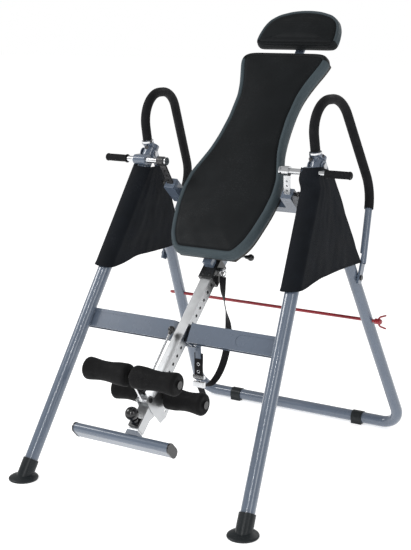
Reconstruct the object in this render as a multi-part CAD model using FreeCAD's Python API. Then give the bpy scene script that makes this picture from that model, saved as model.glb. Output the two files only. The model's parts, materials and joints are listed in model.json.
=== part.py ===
"""Inversion table: folding A-frame, tilting backrest, sliding leg shaft and ankle rollers.

Units are millimetres, +X to the user's left when standing on the footrest, +Y from the foot end
to the head end, +Z up.  Lengths are worked out from the line of the front feet, and every piece
is moved by feet_line at export, so that the origin ends up under the middle of the model.
"""

import math
import os

import FreeCAD
import Part

os.makedirs("parts", exist_ok=True)

# ---- driving dimensions -------------------------------------------------------------------------
clearance = 0.3             # between pieces of different bodies that only pass each other
slide_gap = 0.1             # each side of a square or flat sliding fit
running_gap = 0.05          # radial gap of a round running fit

# A-frame
foot_spread = 429.0         # half the spacing of the front feet
apex_spread = 335.0         # half the spacing of the fold pivots
apex_back = 615.0           # fold pivot behind the front feet
apex_height = 1041.0
front_tube = 23.0           # outer radius of the front legs
rear_tube = 21.0            # outer radius of the rear frame
tube_wall = 1.8
leg_top = 20.0              # front leg carries on past the fold pivot by this much
foot_radius = 50.0
foot_height = 60.0
rail_back = 1124.5          # rear rail behind the front feet
rail_spread = 445.0         # half the width of the rear frame at the floor
rail_bend = 72.0            # bend radius of the rear rail
rail_rise = 150.0           # length of each upturned end of the rear rail
floor_pad_spread = 268.0
floor_pad_length = 42.0
floor_pad_wall = 3.0
hinge_reach = 190.0         # rear leg tube starts this far from the fold pivot
hinge_plate = 2.5
hinge_gap = 1.5             # between the plates and the front leg
pivot_radius = 6.0

# crossbar between the front legs, with a cradle that the leg shaft lies in
crossbar_up = 510.0         # height of its middle
crossbar_height = 66.0
crossbar_depth = 26.0
crossbar_wall = 2.5
crossbar_set_back = 25.0    # middle of the bar behind the leg axes
cradle_wall = 20.0
bumper_thickness = 4.0

# handlebars
handle_tube = 12.7
foam_radius = 16.5
socket_height = 22.0
socket_radius = 21.5

# tilt axle and side grips
axle_below_apex = 17.0      # tilt axle below the fold pivot
axle_gap = 0.541            # between the axle bar and the front leg it crosses
axle_radius = 10.0
axle_inner = 236.0
axle_outer = 486.0
grip_radius = 12.5
grip_inner = 392.0

# bed
bed_angle = 48.65           # bed above the horizontal
pad_drop = 82.0             # face of the pad below the tilt axle, square to the bed
pad_thickness = 44.0
board_thickness = 10.0
board_margin = 7.0
pad_foot = -294.0           # ends of the pad along the bed, from the tilt axle
pad_head = 564.0
spine_width = 38.0
spine_depth = 24.0
cross_low = -58.0           # crossmember along the bed
cross_width = 40.0
cross_depth = 30.0
bracket_inner = 214.0
bracket_width = 40.0
bracket_top = -78.0
arm_width = 24.0
arm_thickness = 7.0

# headrest
head_low = 617.0
head_high = 782.0
head_half = 165.0
head_drop = 106.0           # face of the headrest below the tilt axle
head_thickness = 40.0
post_width = 34.0
post_thickness = 8.0
post_length = 330.0
socket_wall = 2.5
socket_length = 190.0

# leg shaft
shaft_angle = 43.7
shaft_drop = 216.6          # shaft axis below the tilt axle, square to the shaft
shaft_half = 19.0
shaft_wall = 2.0
shaft_upper = -150.0
shaft_lower = -916.0
housing_half = shaft_half + slide_gap + 2.9
housing_upper = -40.0
housing_lower = -300.0
collar_half = 28.0
collar_lower = -330.0
collar_upper = -250.0
hole_pitch = 32.0
pin_along = -212.0
pin_radius = 5.0
pin_reach = 118.0
ball_radius = 12.0

# footrest
stem_upper = -850.0         # inner end of the footrest's stem, inside the shaft
socket_upper = -923.0       # square socket on the footrest bar
socket_half = 20.0
foot_bar_along = -970.0
foot_bar_half = 180.0
foot_bar_width = 60.0
foot_bar_depth = 32.0
knob_radius = 22.0
knob_along = -897.0
knob_lean = 76.0            # lock knob's axis above the shaft

# ankle rollers
roller_radius = 37.5
roller_waist = 31.0
roller_outer = 175.0
front_roller_inner = 8.5
rear_roller_inner = 31.0
roller_axle = 8.0
front_roller = (-800.0, -71.0)    # along the shaft and above it, from the tilt axle
rear_roller = (-765.0, -250.0)
clamp_rise = 12.6            # clamp pivot above the front of the shaft
clamp_pivot = (-818.0, -shaft_drop + shaft_half + clamp_rise)
heel_plate = 3.0
lever_ball_place = (-18.0, -557.0, -175.0)

# stop rod
rod_share = 0.438           # how far up the rear leg the stop rod sits
rod_radius = 6.0
rod_margin = 10.0

# tether strap
strap_width = 28.0
strap_thickness = 2.5
strap_x = 44.0
belt_width = 36.0

X = FreeCAD.Vector(1, 0, 0)

# the tilt axle crosses just in front of the front legs, below the fold pivot
leg_run = math.hypot(apex_back, apex_height)
axle_height = apex_height - axle_below_apex
axle_back = (apex_back * axle_height / apex_height
             - (front_tube + axle_radius + axle_gap) * leg_run / apex_height)

# the front feet's front edge and the headrest's back edge are the ends of the model
bed_turn = math.radians(bed_angle)
front_end = -foot_radius
back_end = (axle_back + head_high * math.cos(bed_turn)
            + (head_drop + head_thickness) * math.sin(bed_turn))
feet_line = -(front_end + back_end) / 2


def vec(x, y, z):
    return FreeCAD.Vector(x, y, z)


# ---- shapes -------------------------------------------------------------------------------------
def bar(a, b, radius):
    """Round bar from a to b."""
    return Part.makeCylinder(radius, (b - a).Length, a, b - a)


def pipe(a, b, radius, wall):
    """Straight tube from a to b."""
    return bar(a, b, radius).cut(bar(a, b, radius - wall))


def block(x, y, z):
    """Box from three (low, high) pairs."""
    return Part.makeBox(x[1] - x[0], y[1] - y[0], z[1] - z[0], vec(x[0], y[0], z[0]))


def bent_wire(points, radii):
    """Straight runs through points, joined by tangent arcs; one radius for each inner point."""
    edges = []
    start = points[0]
    for before, corner, after, radius in zip(points, points[1:], points[2:], radii):
        come = (before - corner).normalize()
        leave = (after - corner).normalize()
        half = come.getAngle(leave) / 2
        reach = radius / math.tan(half)
        middle = (come + leave).normalize()
        centre = corner + middle * (radius / math.sin(half))
        first = corner + come * reach
        last = corner + leave * reach
        edges.append(Part.LineSegment(start, first).toShape())
        edges.append(Part.Arc(first, centre - middle * radius, last).toShape())
        start = last
    edges.append(Part.LineSegment(start, points[-1]).toShape())
    return Part.Wire(edges)


def sweep(wire, radius):
    """Round bar along a wire."""
    edge = wire.Edges[0]
    start = edge.valueAt(edge.FirstParameter)
    way = edge.tangentAt(edge.FirstParameter)
    ring = Part.Wire(Part.Circle(start, way, radius).toShape())
    return wire.makePipeShell([ring], True, True)


def prism(points, direction):
    """Closed outline of points, pushed along direction."""
    return Part.Face(Part.makePolygon(list(points) + [points[0]])).extrude(direction)


def mirrored(shape):
    return shape.mirror(vec(0, 0, 0), X)


def joined(shapes):
    """Shapes fused into one solid."""
    whole = shapes[0]
    for other in shapes[1:]:
        whole = whole.fuse(other)
    return whole.removeSplitter()


def leaning(shape, angle):
    """A shape drawn with the tilt axle at the origin, turned to its angle and put in place."""
    turned = shape.copy()
    turned.rotate(vec(0, 0, 0), X, angle)
    turned.translate(vec(0, axle_back, axle_height))
    return turned


def on_bed(shape):
    return leaning(shape, bed_angle)


def on_shaft(shape):
    return leaning(shape, shaft_angle)


def save(name, shape):
    placed = shape.copy()
    placed.translate(vec(0, feet_line, 0))
    if placed.ShapeType == "Compound" and len(placed.Solids) == 1:
        placed = placed.Solids[0]
    placed.exportStep("parts/" + name + ".step")


def save_pair(name, right):
    """The +X piece as drawn, and its mirror image."""
    save(name + "_right", right)
    save(name + "_left", mirrored(right))


# ---- A-frame ------------------------------------------------------------------------------------
foot_point = vec(foot_spread, 0, 0)
apex = vec(apex_spread, apex_back, apex_height)
rail_corner = vec(rail_spread, rail_back, rear_tube + floor_pad_wall)
leg_way = (apex - foot_point).normalize()
rear_way = (rail_corner - apex).normalize()
leg_lean = math.degrees(math.atan2(apex_back, apex_height))
leg_end = apex + leg_way * leg_top


def leg_at(height):
    """Point on the right front leg's axis at that height."""
    return foot_point + leg_way * (height / leg_way.z)


def front_leg():
    tube = pipe(foot_point - leg_way * 20, leg_end, front_tube, tube_wall)
    under = block((300, 600), (-200, 200), (-100, 8))
    hole = bar(apex - X * 60, apex + X * 60, pivot_radius)
    mouth = bar(handle_foot - handle_start * 0.1, handle_foot + handle_start * 60, handle_tube)
    return tube.cut(under).cut(hole).cut(mouth)


def foot():
    """Flared rubber shoe: a round base that narrows into a sleeve round the leg."""
    rings = []
    base = vec(foot_spread, 0, 0)
    for centre, radius in ((base, foot_radius - 2), (base + vec(0, 0, 4), foot_radius),
                           (leg_at(13), 37.0), (leg_at(30), front_tube + 4.5)):
        rings.append(Part.Wire(Part.Circle(centre, vec(0, 0, 1), radius).toShape()))
    flare = Part.makeLoft(rings, True)
    ground = block((300, 600), (-200, 200), (-200, 0))
    sleeve = bar(leg_at(-10), leg_at(foot_height), front_tube + 4).cut(ground)
    leg = bar(leg_at(-20), leg_at(200), front_tube)
    under = block((300, 600), (-200, 200), (-100, 8))
    return flare.fuse(sleeve).cut(leg.cut(under)).removeSplitter()


def in_leg_plane(shape):
    """A shape drawn upright about the crossbar's middle, leant to the legs and put in place."""
    placed = shape.copy()
    placed.translate(vec(0, crossbar_set_back, 0))
    placed.rotate(vec(0, 0, 0), X, -leg_lean)
    middle = leg_at(crossbar_up)
    placed.translate(vec(0, middle.y, middle.z))
    return placed


cradle_half = shaft_half + 6


def shaft_behind(rise):
    """How far behind the leg axes the shaft's rear face is, at that rise up the crossbar."""
    turn = math.radians(shaft_angle)
    lean = math.radians(leg_lean)
    drop = shaft_drop + shaft_half
    middle = leg_at(crossbar_up)
    back = axle_back + drop * math.sin(turn) - middle.y
    up = axle_height - drop * math.cos(turn) - middle.z
    along = ((rise - back * math.sin(lean) - up * math.cos(lean))
             / math.cos(math.pi / 2 - turn - lean))
    return ((back + along * math.cos(turn)) * math.cos(lean)
            - (up + along * math.sin(turn)) * math.sin(lean))


cradle_floor = (shaft_behind(crossbar_height / 2) - crossbar_set_back
                + bumper_thickness + clearance)


def crossbar_outline(inset):
    """Plan of the crossbar, with the cradle bent back round the shaft."""
    front = -crossbar_depth / 2 + inset
    back = crossbar_depth / 2 - inset
    mouth = cradle_half + 9 + inset
    side = cradle_half + inset
    outer = cradle_half + cradle_wall - inset
    deep = cradle_floor + inset
    rear = cradle_floor + cradle_wall - inset
    end = foot_spread
    right = [(mouth, front), (end, front), (end, back), (outer + 8, back), (outer, back + 8),
             (outer, rear - 8), (outer - 8, rear)]
    left = [(-x, y) for x, y in reversed(right)]
    inside = [(-side, front + 11), (-side, deep), (side, deep), (side, front + 11)]
    return [vec(x, y, -crossbar_height / 2) for x, y in right + left + inside]


def crossbar():
    bar_solid = prism(crossbar_outline(0), vec(0, 0, crossbar_height))
    hollow = prism(crossbar_outline(crossbar_wall), vec(0, 0, crossbar_height))
    channel = bar_solid.cut(hollow)
    top = prism(crossbar_outline(0), vec(0, 0, crossbar_wall))
    top.translate(vec(0, 0, crossbar_height - crossbar_wall))
    channel = channel.fuse(top)
    front = -crossbar_depth / 2
    for side in (-1, 1):
        low, high = sorted((side * 232, side * 420))
        press = block((low, high), (front - 1, front + 1.2), (-21, 21))
        nose = Part.makeCylinder(21, 2.2, vec(side * 232, front - 1, 0), vec(0, 1, 0))
        channel = channel.cut(press.fuse(nose))
    channel = in_leg_plane(channel)
    channel = channel.fuse(tether_tab())
    legs = bar(foot_point, apex, front_tube)
    outside = block((leg_at(crossbar_up).x + 2, 600), (-100, 900), (0, 1200))
    for cutter in (legs, outside):
        channel = channel.cut(cutter).cut(mirrored(cutter))
    solids = sorted(channel.Solids, key=lambda s: s.Volume)
    return solids[-1]


def cradle_corner():
    """Lower rear edge of the cradle, as (back, up)."""
    corner = vec(0, cradle_floor + cradle_wall + crossbar_set_back, -crossbar_height / 2)
    lean = math.radians(leg_lean)
    middle = leg_at(crossbar_up)
    return (middle.y + corner.y * math.cos(lean) + corner.z * math.sin(lean),
            middle.z - corner.y * math.sin(lean) + corner.z * math.cos(lean))


def tether_tab():
    """Tab under the cradle that the tether's belt hangs from."""
    back, up = cradle_corner()
    return block((strap_x - 10, strap_x + 10), (back - 8, back - 3), (up - 32, up + 12))


def cradle_bumper():
    """Rubber strip on the cradle's floor, near its top edge, that the shaft leans on."""
    top = crossbar_height / 2
    strip = block((-cradle_half + 1, cradle_half - 1),
                  (cradle_floor - bumper_thickness, cradle_floor), (top - 16, top))
    return in_leg_plane(strip)


def rear_leg():
    """Straight tube from below the hinge plates to the bent rail."""
    top = apex + rear_way * hinge_reach
    length = (rail_corner - apex).Length
    low = apex + rear_way * (length - rail_rise)
    tube = pipe(top, low, rear_tube, tube_wall)
    hole = bar(rod_point - X * 60, rod_point + X * 60, rod_radius + running_gap)
    return tube.cut(hole)


def rear_rail():
    right = rail_corner - rear_way * rail_rise
    points = [right, rail_corner, vec(-rail_corner.x, rail_corner.y, rail_corner.z),
              vec(-right.x, right.y, right.z)]
    wire = bent_wire(points, [rail_bend, rail_bend])
    return sweep(wire, rear_tube).cut(sweep(wire, rear_tube - tube_wall))


def floor_pad():
    """Clip-on rubber pad round the rear rail, flat underneath."""
    low = floor_pad_spread - floor_pad_length / 2
    start = vec(low, rail_corner.y, rail_corner.z)
    finish = start + X * floor_pad_length
    clip = bar(start, finish, rear_tube + floor_pad_wall)
    shoe = block((low, low + floor_pad_length),
                 (rail_back - rear_tube, rail_back + rear_tube), (0, rear_tube))
    return clip.fuse(shoe).cut(bar(start, finish, rear_tube)).removeSplitter()


def along_rear_leg(shape):
    """A shape drawn along +Y from the origin, turned down the right rear leg from the fold pivot."""
    placed = shape.copy()
    placed.rotate(vec(0, 0, 0), vec(0, 0, 1), -math.degrees(math.asin(rear_way.x)))
    placed.rotate(vec(0, 0, 0), X, math.degrees(math.atan2(rear_way.z, rear_way.y)))
    placed.translate(apex)
    return placed


hinge_inner = front_tube + hinge_gap
hinge_reach_full = hinge_reach + 56.0


def hinge_plates():
    """Two straps either side of the front leg that carry the rear leg from the fold pivot."""
    shape = block((-hinge_inner, hinge_inner), (hinge_reach + 1, hinge_reach_full - 2), (-13, 13))
    for side in (-1, 1):
        x = hinge_inner if side > 0 else -hinge_inner - hinge_plate
        strap = Part.makeBox(hinge_plate, hinge_reach_full, 34, vec(x, 0, -17))
        head = Part.makeCylinder(17, hinge_plate, vec(x, 0, 0), X)
        shape = shape.fuse(strap.fuse(head))
    leg = Part.makeCylinder(rear_tube, 400, vec(0, hinge_reach, 0), vec(0, 1, 0))
    shape = along_rear_leg(shape.removeSplitter().cut(leg))
    hole = bar(apex - X * 60, apex + X * 60, pivot_radius + running_gap)
    return shape.cut(hole)


pivot_grip = front_tube + hinge_gap + hinge_plate + 1.6


def fold_pivot():
    """Shoulder bolt through the front leg and both hinge plates, with its head and nut."""
    shank = bar(apex - X * (pivot_grip + 4.5), apex + X * (pivot_grip + 3), pivot_radius)
    head = Part.makeCylinder(11, 3, apex + X * pivot_grip, X)
    nut_points = [apex - X * pivot_grip + vec(0, 10 * math.cos(a), 10 * math.sin(a))
                  for a in [math.radians(60 * k) for k in range(6)]]
    nut = prism(nut_points, X * -4)
    return joined([shank, head, nut])


# stop rod through both rear legs
rod_point = rail_corner + (apex - rail_corner) * rod_share
rod_end = rod_point.x + rear_tube + rod_margin


def stop_rod():
    shank = bar(vec(-rod_end - 8, rod_point.y, rod_point.z), vec(rod_end, rod_point.y, rod_point.z),
                rod_radius)
    tip = Part.makeCone(rod_radius, 3.0, 6, vec(-rod_end - 8, rod_point.y, rod_point.z), X * -1)
    return joined([shank, tip])


def rod_knob():
    start = vec(rod_end, rod_point.y, rod_point.z)
    body = Part.makeCylinder(10, 20, start, X)
    dome = Part.makeCone(10, 6, 5, start + X * 20, X)
    return joined([body, dome])


def wing_handle():
    """Bent wire wings of the stop rod's lock screw."""
    wings = []
    start = vec(rod_end + 13, rod_point.y, rod_point.z)
    for rise, out in ((1, 26), (-1, 26)):
        root = start + vec(0, 0, rise * 9.5)
        knee = start + vec(6, 0, rise * 17)
        tip = start + vec(out, 6, rise * 24)
        wire = bent_wire([root, knee, tip], [6])
        wings.append(sweep(wire, 3.2))
    knob = rod_knob()
    return [w.cut(knob) for w in wings]


# ---- handlebars, axle and grips -----------------------------------------------------------------
handle_bolt = vec(406, 811, 640)


def rear_leg_side(point):
    """X of the outer side of the right rear leg beside a point."""
    share = (point.z - apex.z) / (rail_corner.z - apex.z)
    return apex.x + share * (rail_corner.x - apex.x) + rear_tube / math.cos(math.atan(0.1))


handle_x = rear_leg_side(handle_bolt) + 6.5
handle_points = [
    vec(apex_spread - 1, apex_back - 5, apex_height + 19),
    vec(apex_spread - 3, apex_back - 45, apex_height + 211),
    vec(apex_spread + 8, apex_back + 157, apex_height + 211),
    vec(apex_spread + 43, apex_back + 326, apex_height - 116),
    vec(handle_x, handle_bolt.y + 19, handle_bolt.z + 46),
]
handle_radii = [95.0, 108.0, 130.0]


def handle_wire():
    return bent_wire(handle_points, handle_radii)


def handlebar():
    """Bent tube from the leg's socket, over the top, to a flattened end beside the rear leg."""
    wire = handle_wire()
    tube = sweep(wire, handle_tube)
    low = handle_points[-1]
    flat = Part.makeBox(8, 26, 78, vec(handle_x - 4, low.y - 13, low.z - 72))
    flat.rotate(vec(handle_x, low.y, low.z), X, -22)
    bore = sweep(wire, handle_tube - tube_wall)
    shape = tube.fuse(flat).cut(bore)
    beside = block((handle_x - 40, handle_x - 5), (700, 900), (540, 720))
    bolt = vec(handle_x, handle_bolt.y, handle_bolt.z)
    return shape.cut(beside).cut(bar(bolt - X * 9, bolt + X * 9, 4.5)).removeSplitter()


def trimmed_wire(first, last):
    """Part of the handlebar's centre line, between two distances from its lower front end."""
    edges = []
    run = 0.0
    for edge in handle_wire().Edges:
        low = max(first - run, 0.0)
        high = min(last - run, edge.Length)
        if high - low > 0.01:
            a = edge.getParameterByLength(low)
            b = edge.getParameterByLength(high)
            edges.append(edge.Curve.toShape(a, b))
        run += edge.Length
    return Part.Wire(edges)


foam_start = socket_height + 7.5
foam_finish = handle_wire().Length - 195.0


def foam_grip():
    wire = trimmed_wire(foam_start, foam_finish)
    return sweep(wire, foam_radius).cut(sweep(wire, handle_tube))


handle_start = (handle_points[1] - handle_points[0]).normalize()
handle_foot = handle_points[0]


def collar_bolts():
    """Heads of the socket's set bolts, one outwards and one to the front."""
    heads = []
    middle = handle_foot + handle_start * (socket_height * 0.45)
    for turn in (38, 250):
        way = vec(math.cos(math.radians(turn)), math.sin(math.radians(turn)), 0)
        way = (way - handle_start * way.dot(handle_start)).normalize()
        heads.append(Part.makeCylinder(6.5, 7, middle + way * (socket_radius - 2), way))
    return heads


def leg_collar():
    """Socket on the front leg's top, that turns up to hold the handlebar."""
    low = bar(apex + leg_way * 18.5, apex + leg_way * 34, front_tube + 3)
    high = bar(handle_foot - handle_start * 8, handle_foot + handle_start * socket_height, socket_radius)
    leg = bar(foot_point, leg_end, front_tube)
    tube = bar(handle_foot, handle_foot + handle_start * 100, handle_tube)
    keep = bar(apex + leg_way * 18.5, apex + leg_way * 90, 80)
    shape = joined([low, high]).common(keep).cut(leg).cut(tube)
    for head in collar_bolts():
        shape = shape.cut(head)
    return shape


def collar_rings():
    """Bright clamp rings where the foam starts."""
    low = handle_foot + handle_start * (socket_height + 0.5)
    tube = bar(handle_foot, handle_foot + handle_start * 100, handle_tube)
    ring = Part.makeCylinder(socket_radius - 0.5, 6, low, handle_start).cut(tube)
    return Part.makeCompound([ring, mirrored(ring)])


def handlebar_bolts():
    """Bolts through the flattened ends, stopping short of the rear legs."""
    centre = vec(handle_x, handle_bolt.y, handle_bolt.z)
    shank = bar(centre - X * 5, centre + X * 4, 4.5)
    head = Part.makeCylinder(8, 5.5, centre + X * 4, X)
    washer = Part.makeCylinder(10, 1.6, centre + X * 4, X)
    bolt = joined([shank, head, washer])
    return [bolt, mirrored(bolt)]


def axle_point(x):
    return vec(x, axle_back, axle_height)


def axle_bar():
    shank = bar(axle_point(axle_inner - 6), axle_point(axle_outer - 2), axle_radius)
    head = Part.makeCylinder(14, 5, axle_point(axle_inner - 6), X * -1)
    return joined([shank, head])


def side_grip():
    grip = bar(axle_point(grip_inner), axle_point(axle_outer - 4), grip_radius)
    end = Part.makeCylinder(grip_radius, 4, axle_point(axle_outer - 4), X)
    end = end.makeFillet(2.5, [end.Edges[0]])
    ring = Part.makeCylinder(grip_radius + 1.2, 3.5, axle_point(axle_outer - 10), X)
    flange = Part.makeCylinder(grip_radius + 3, 4, axle_point(grip_inner), X)
    return joined([grip, end, ring, flange]).cut(bar(axle_point(0), axle_point(axle_outer - 2),
                                                     axle_radius))


def axle_bracket():
    """Saddle welded on the front of the leg, that the axle bar passes through."""
    x = leg_at(axle_height).x
    body = block((x - 24, x + 24), (axle_back - 17, axle_back + 24), (axle_height - 17, axle_height + 17))
    round_front = Part.makeCylinder(17, 48, axle_point(x - 24), X)
    front = block((x - 30, x + 30), (axle_back - 30, axle_back), (axle_height - 30, axle_height + 30))
    shape = body.cut(front).fuse(round_front)
    leg = bar(foot_point, leg_end, front_tube)
    shape = shape.cut(leg).cut(bar(axle_point(0), axle_point(axle_outer), axle_radius))
    solids = sorted(shape.Solids, key=lambda s: s.Volume)
    return solids[-1].removeSplitter()


cover_wall = 1.6


def side_cover():
    """Nylon cover: two panels joined round the front of the front leg."""
    splay = (foot_spread - apex_spread) / apex_height
    half = pivot_grip + 5 + cover_wall
    top = -38.0
    tail = 24.0
    rear_slope = (rail_back - apex_back) / (apex_height - rail_corner.z)
    leg_slope = apex_back / apex_height
    front = front_tube / math.cos(math.radians(leg_lean)) + 6

    def outline(inset):
        return [
            (-front + inset - top * -leg_slope, top),
            (-front + inset - 370 * leg_slope, -370),
            (-front + 62 - 352 * leg_slope, -366),
            (-front + 110 - 352 * leg_slope, -348),
            (352 * rear_slope + tail, -352),
            (-top * rear_slope + tail, top),
        ]

    outer = prism([vec(-half, y, z) for y, z in outline(0)], X * (2 * half))
    inner = outline(cover_wall)
    inner[1] = (inner[1][0] - 8 * leg_slope, -378)
    inner[2] = (inner[2][0], -378)
    inner[3] = (inner[3][0], -378)
    inner[4] = (inner[4][0] + 60, -378)
    inner[5] = (inner[5][0] + 60, top + 8)
    inner[0] = (inner[0][0] + 8 * leg_slope, top + 8)
    cavity = prism([vec(-half + cover_wall, y, z) for y, z in inner], X * (2 * (half - cover_wall)))
    shell = outer.cut(cavity)
    shell.rotate(vec(0, 0, 0), vec(0, 1, 0), -math.degrees(math.atan(splay)))
    shell.translate(apex)
    return shell


# ---- bed ----------------------------------------------------------------------------------------
pad_back = -pad_drop - pad_thickness
board_back = pad_back - board_thickness
half_widths = [(-262, 136), (-232, 155), (-180, 170), (-110, 184), (-40, 190), (25, 183),
               (80, 163), (130, 146), (185, 135), (270, 127), (368, 130), (420, 142), (470, 159),
               (512, 174), (538, 180)]
foot_corner = 26.0          # how far each end's straight edge stops short of the side
head_corner = 24.0


def bed_outline(margin, level):
    """Closed outline of the bed, narrowed by a margin: straight ends, rounded corners, curved sides."""
    side = [vec(width - margin, along, level) for along, width in half_widths]
    low = vec(half_widths[0][1] - foot_corner, pad_foot + margin, level)
    high = vec(half_widths[-1][1] - head_corner, pad_head - margin, level)
    curve = Part.BSplineCurve()
    curve.interpolate(side)
    right = curve.toShape()
    sides = [Part.LineSegment(low, side[0]).toShape(), right, Part.LineSegment(side[-1], high).toShape()]
    left = [mirrored(edge) for edge in sides]
    foot_edge = Part.LineSegment(vec(-low.x, low.y, level), low).toShape()
    head_edge = Part.LineSegment(high, vec(-high.x, high.y, level)).toShape()
    edges = Part.sortEdges(sides + left + [foot_edge, head_edge])[0]
    return Part.Face(Part.Wire(edges))


def backrest_pad():
    return on_bed(bed_outline(0, pad_back).extrude(vec(0, 0, pad_thickness)))


def bed_board():
    return on_bed(bed_outline(board_margin, board_back).extrude(vec(0, 0, board_thickness)))


spine_low = -88.0
spine_back = board_back - spine_depth


def shaft_box(half, low, high):
    """Square bar along the shaft's axis, drawn about the tilt axle."""
    return block((-half, half), (low, high), (-shaft_drop - half, -shaft_drop + half))


def bed_spine():
    outer = block((-spine_width / 2, spine_width / 2), (spine_low, pad_head - 24),
                  (spine_back, board_back))
    inner = block((-spine_width / 2 + 2, spine_width / 2 - 2), (spine_low - 1, pad_head - 20),
                  (spine_back + 2, board_back - 2))
    return on_bed(outer.cut(inner))


def above_board():
    """Everything on the pad's side of the board's back."""
    return on_bed(block((-400, 400), (-500, 900), (board_back, 400)))


def shaft_housing():
    """Square tube that the shaft slides in, hung from the board by two welded blocks."""
    outer = shaft_box(housing_half, housing_lower, housing_upper)
    top = -shaft_drop + housing_half
    for low, high in ((-290, -262), (-110, -66)):
        outer = outer.fuse(block((-17, 17), (low, high), (top - 1, top + 60)))
    inner = shaft_box(shaft_half + slide_gap, housing_lower - 1, housing_upper + 1)
    hole = Part.makeCylinder(pin_radius + running_gap, 60, vec(0, pin_along, -shaft_drop), X)
    barrel = pin_barrel_shape()
    shape = on_shaft(outer.removeSplitter().fuse(barrel).cut(inner).cut(hole)).cut(above_board())
    return shape.cut(spine_block())


def spine_block():
    return on_bed(block((-spine_width / 2, spine_width / 2), (spine_low, pad_head - 24),
                        (spine_back, board_back)))


def crossmember():
    """Channel across the bed, in two halves welded to the spine."""
    beam = block((-bracket_inner - bracket_width, bracket_inner + bracket_width),
                 (cross_low, cross_low + cross_width), (board_back - cross_depth, board_back))
    hollow = block((-bracket_inner - bracket_width + 3, bracket_inner + bracket_width - 3),
                   (cross_low + 3, cross_low + cross_width - 3),
                   (board_back - cross_depth - 1, board_back - 3))
    shape = on_bed(beam.cut(hollow)).cut(spine_block())
    return Part.makeCompound([s for s in shape.Solids if s.Volume > 2000])


def bed_bracket():
    """Upright channel at the end of the crossmember, beside the pad."""
    outer = block((bracket_inner, bracket_inner + bracket_width), (cross_low, cross_low + cross_width),
                  (board_back, bracket_top))
    inner = block((bracket_inner + 3, bracket_inner + bracket_width - 3),
                  (cross_low + 3, cross_low + cross_width + 1), (board_back + 3, bracket_top - 3))
    return on_bed(outer.cut(inner))


def rectangle(x, y, z, width, depth):
    corners = [vec(x - width / 2, y - depth / 2, z), vec(x + width / 2, y - depth / 2, z),
               vec(x + width / 2, y + depth / 2, z), vec(x - width / 2, y + depth / 2, z)]
    return Part.makePolygon(corners + [corners[0]])


def pivot_arm():
    """Flat arm with holes, from its bearing eye on the axle bar down to the bed bracket."""
    low = bracket_top
    along = cross_low + cross_width / 2
    x = bracket_inner + bracket_width / 2
    eye_half = 12.0
    eye_x = axle_inner + eye_half + 1
    blade = Part.makeLoft([rectangle(eye_x, -2, -6, arm_width, arm_thickness),
                           rectangle(x, along, low, arm_width, arm_thickness)], True, True)
    eye = Part.makeCylinder(16, 2 * eye_half, vec(eye_x - eye_half, 0, 0), X)
    shape = joined([blade, eye])
    shape = shape.cut(Part.makeCylinder(axle_radius + running_gap, 80, vec(eye_x - 40, 0, 0), X))
    for share in (0.38, 0.6, 0.82):
        centre = vec(eye_x + (x - eye_x) * share, -2 + (along + 2) * share - 20, -6 + (low + 6) * share)
        shape = shape.cut(Part.makeCylinder(3.5, 40, centre, vec(0, 1, 0)))
    return on_bed(shape)


def arm_knobs():
    """Round lock knobs on the outer side of the bed brackets."""
    start = vec(bracket_inner + bracket_width, cross_low + cross_width / 2 + 8, bracket_top - 13)
    neck = Part.makeCylinder(6, 8, start, X)
    knob = Part.makeSphere(10, start + X * 15)
    shape = on_bed(joined([neck, knob]))
    return Part.makeCompound([shape, mirrored(shape)])


def shaft_bushing():
    """Plastic guide at the foot of the housing, round the shaft, with its two rivets."""
    outer = shaft_box(collar_half, collar_lower, collar_upper)
    outer = outer.makeFillet(4, [e for e in outer.Edges if abs(e.tangentAt(e.FirstParameter).y) > 0.9])
    for x in (-12, 12):
        base = vec(x, collar_lower + 12, -shaft_drop + collar_half - 0.5)
        outer = outer.fuse(Part.makeCone(4.5, 2.5, 3, base, vec(0, 0, 1)))
    hole = shaft_box(shaft_half + slide_gap, collar_lower - 1, housing_lower)
    return on_shaft(outer.removeSplitter().cut(hole)).cut(shaft_housing_block())


def shaft_housing_block():
    """Outside of the housing and its blocks, that the guide fits over."""
    outer = shaft_box(housing_half, housing_lower, housing_upper)
    return on_shaft(outer.fuse(block((-17, 17), (-290, -262), (-shaft_drop, -shaft_drop + 90))))


ring_place = (-283.0, -205.0)


def strap_ring():
    """Ring that hangs from a tab on the right side of the guide."""
    u, n = ring_place
    tab = on_shaft(block((collar_half, strap_x + 3), (u - 6, u + 6), (n - 3, n + 3)))
    centre = on_shaft(Part.makeCylinder(1, 1, vec(strap_x, u, n), X)).CenterOfMass
    ring = Part.makeTorus(strap_width / 2 - 2, 2.2, vec(strap_x, centre.y, centre.z - 10), vec(0, 1, 0))
    return joined([ring, tab])


def pin_barrel_shape():
    """Threaded barrel on the right side of the housing, that guides the height pin."""
    start = vec(housing_half, pin_along, -shaft_drop)
    barrel = Part.makeCylinder(10, 26, start, X)
    nut_points = [start + vec(26, 11 * math.cos(a), 11 * math.sin(a))
                  for a in [math.radians(60 * k) for k in range(6)]]
    return barrel.fuse(prism(nut_points, X * 7))


def height_pin():
    start = vec(shaft_half + clearance, pin_along, -shaft_drop)
    return on_shaft(Part.makeCylinder(pin_radius, pin_reach - ball_radius - start.x - 4, start, X))


def height_pin_ball():
    centre = vec(pin_reach, pin_along, -shaft_drop)
    neck = Part.makeCone(6, 8, 12, centre - X * 20, X)
    ball = joined([Part.makeSphere(ball_radius, centre), neck])
    pin = Part.makeCylinder(pin_radius, pin_reach - ball_radius - 4, vec(0, pin_along, -shaft_drop), X)
    return on_shaft(ball.cut(pin))


# ---- headrest -----------------------------------------------------------------------------------
post_top = spine_back - 2.5 - slide_gap


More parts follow.
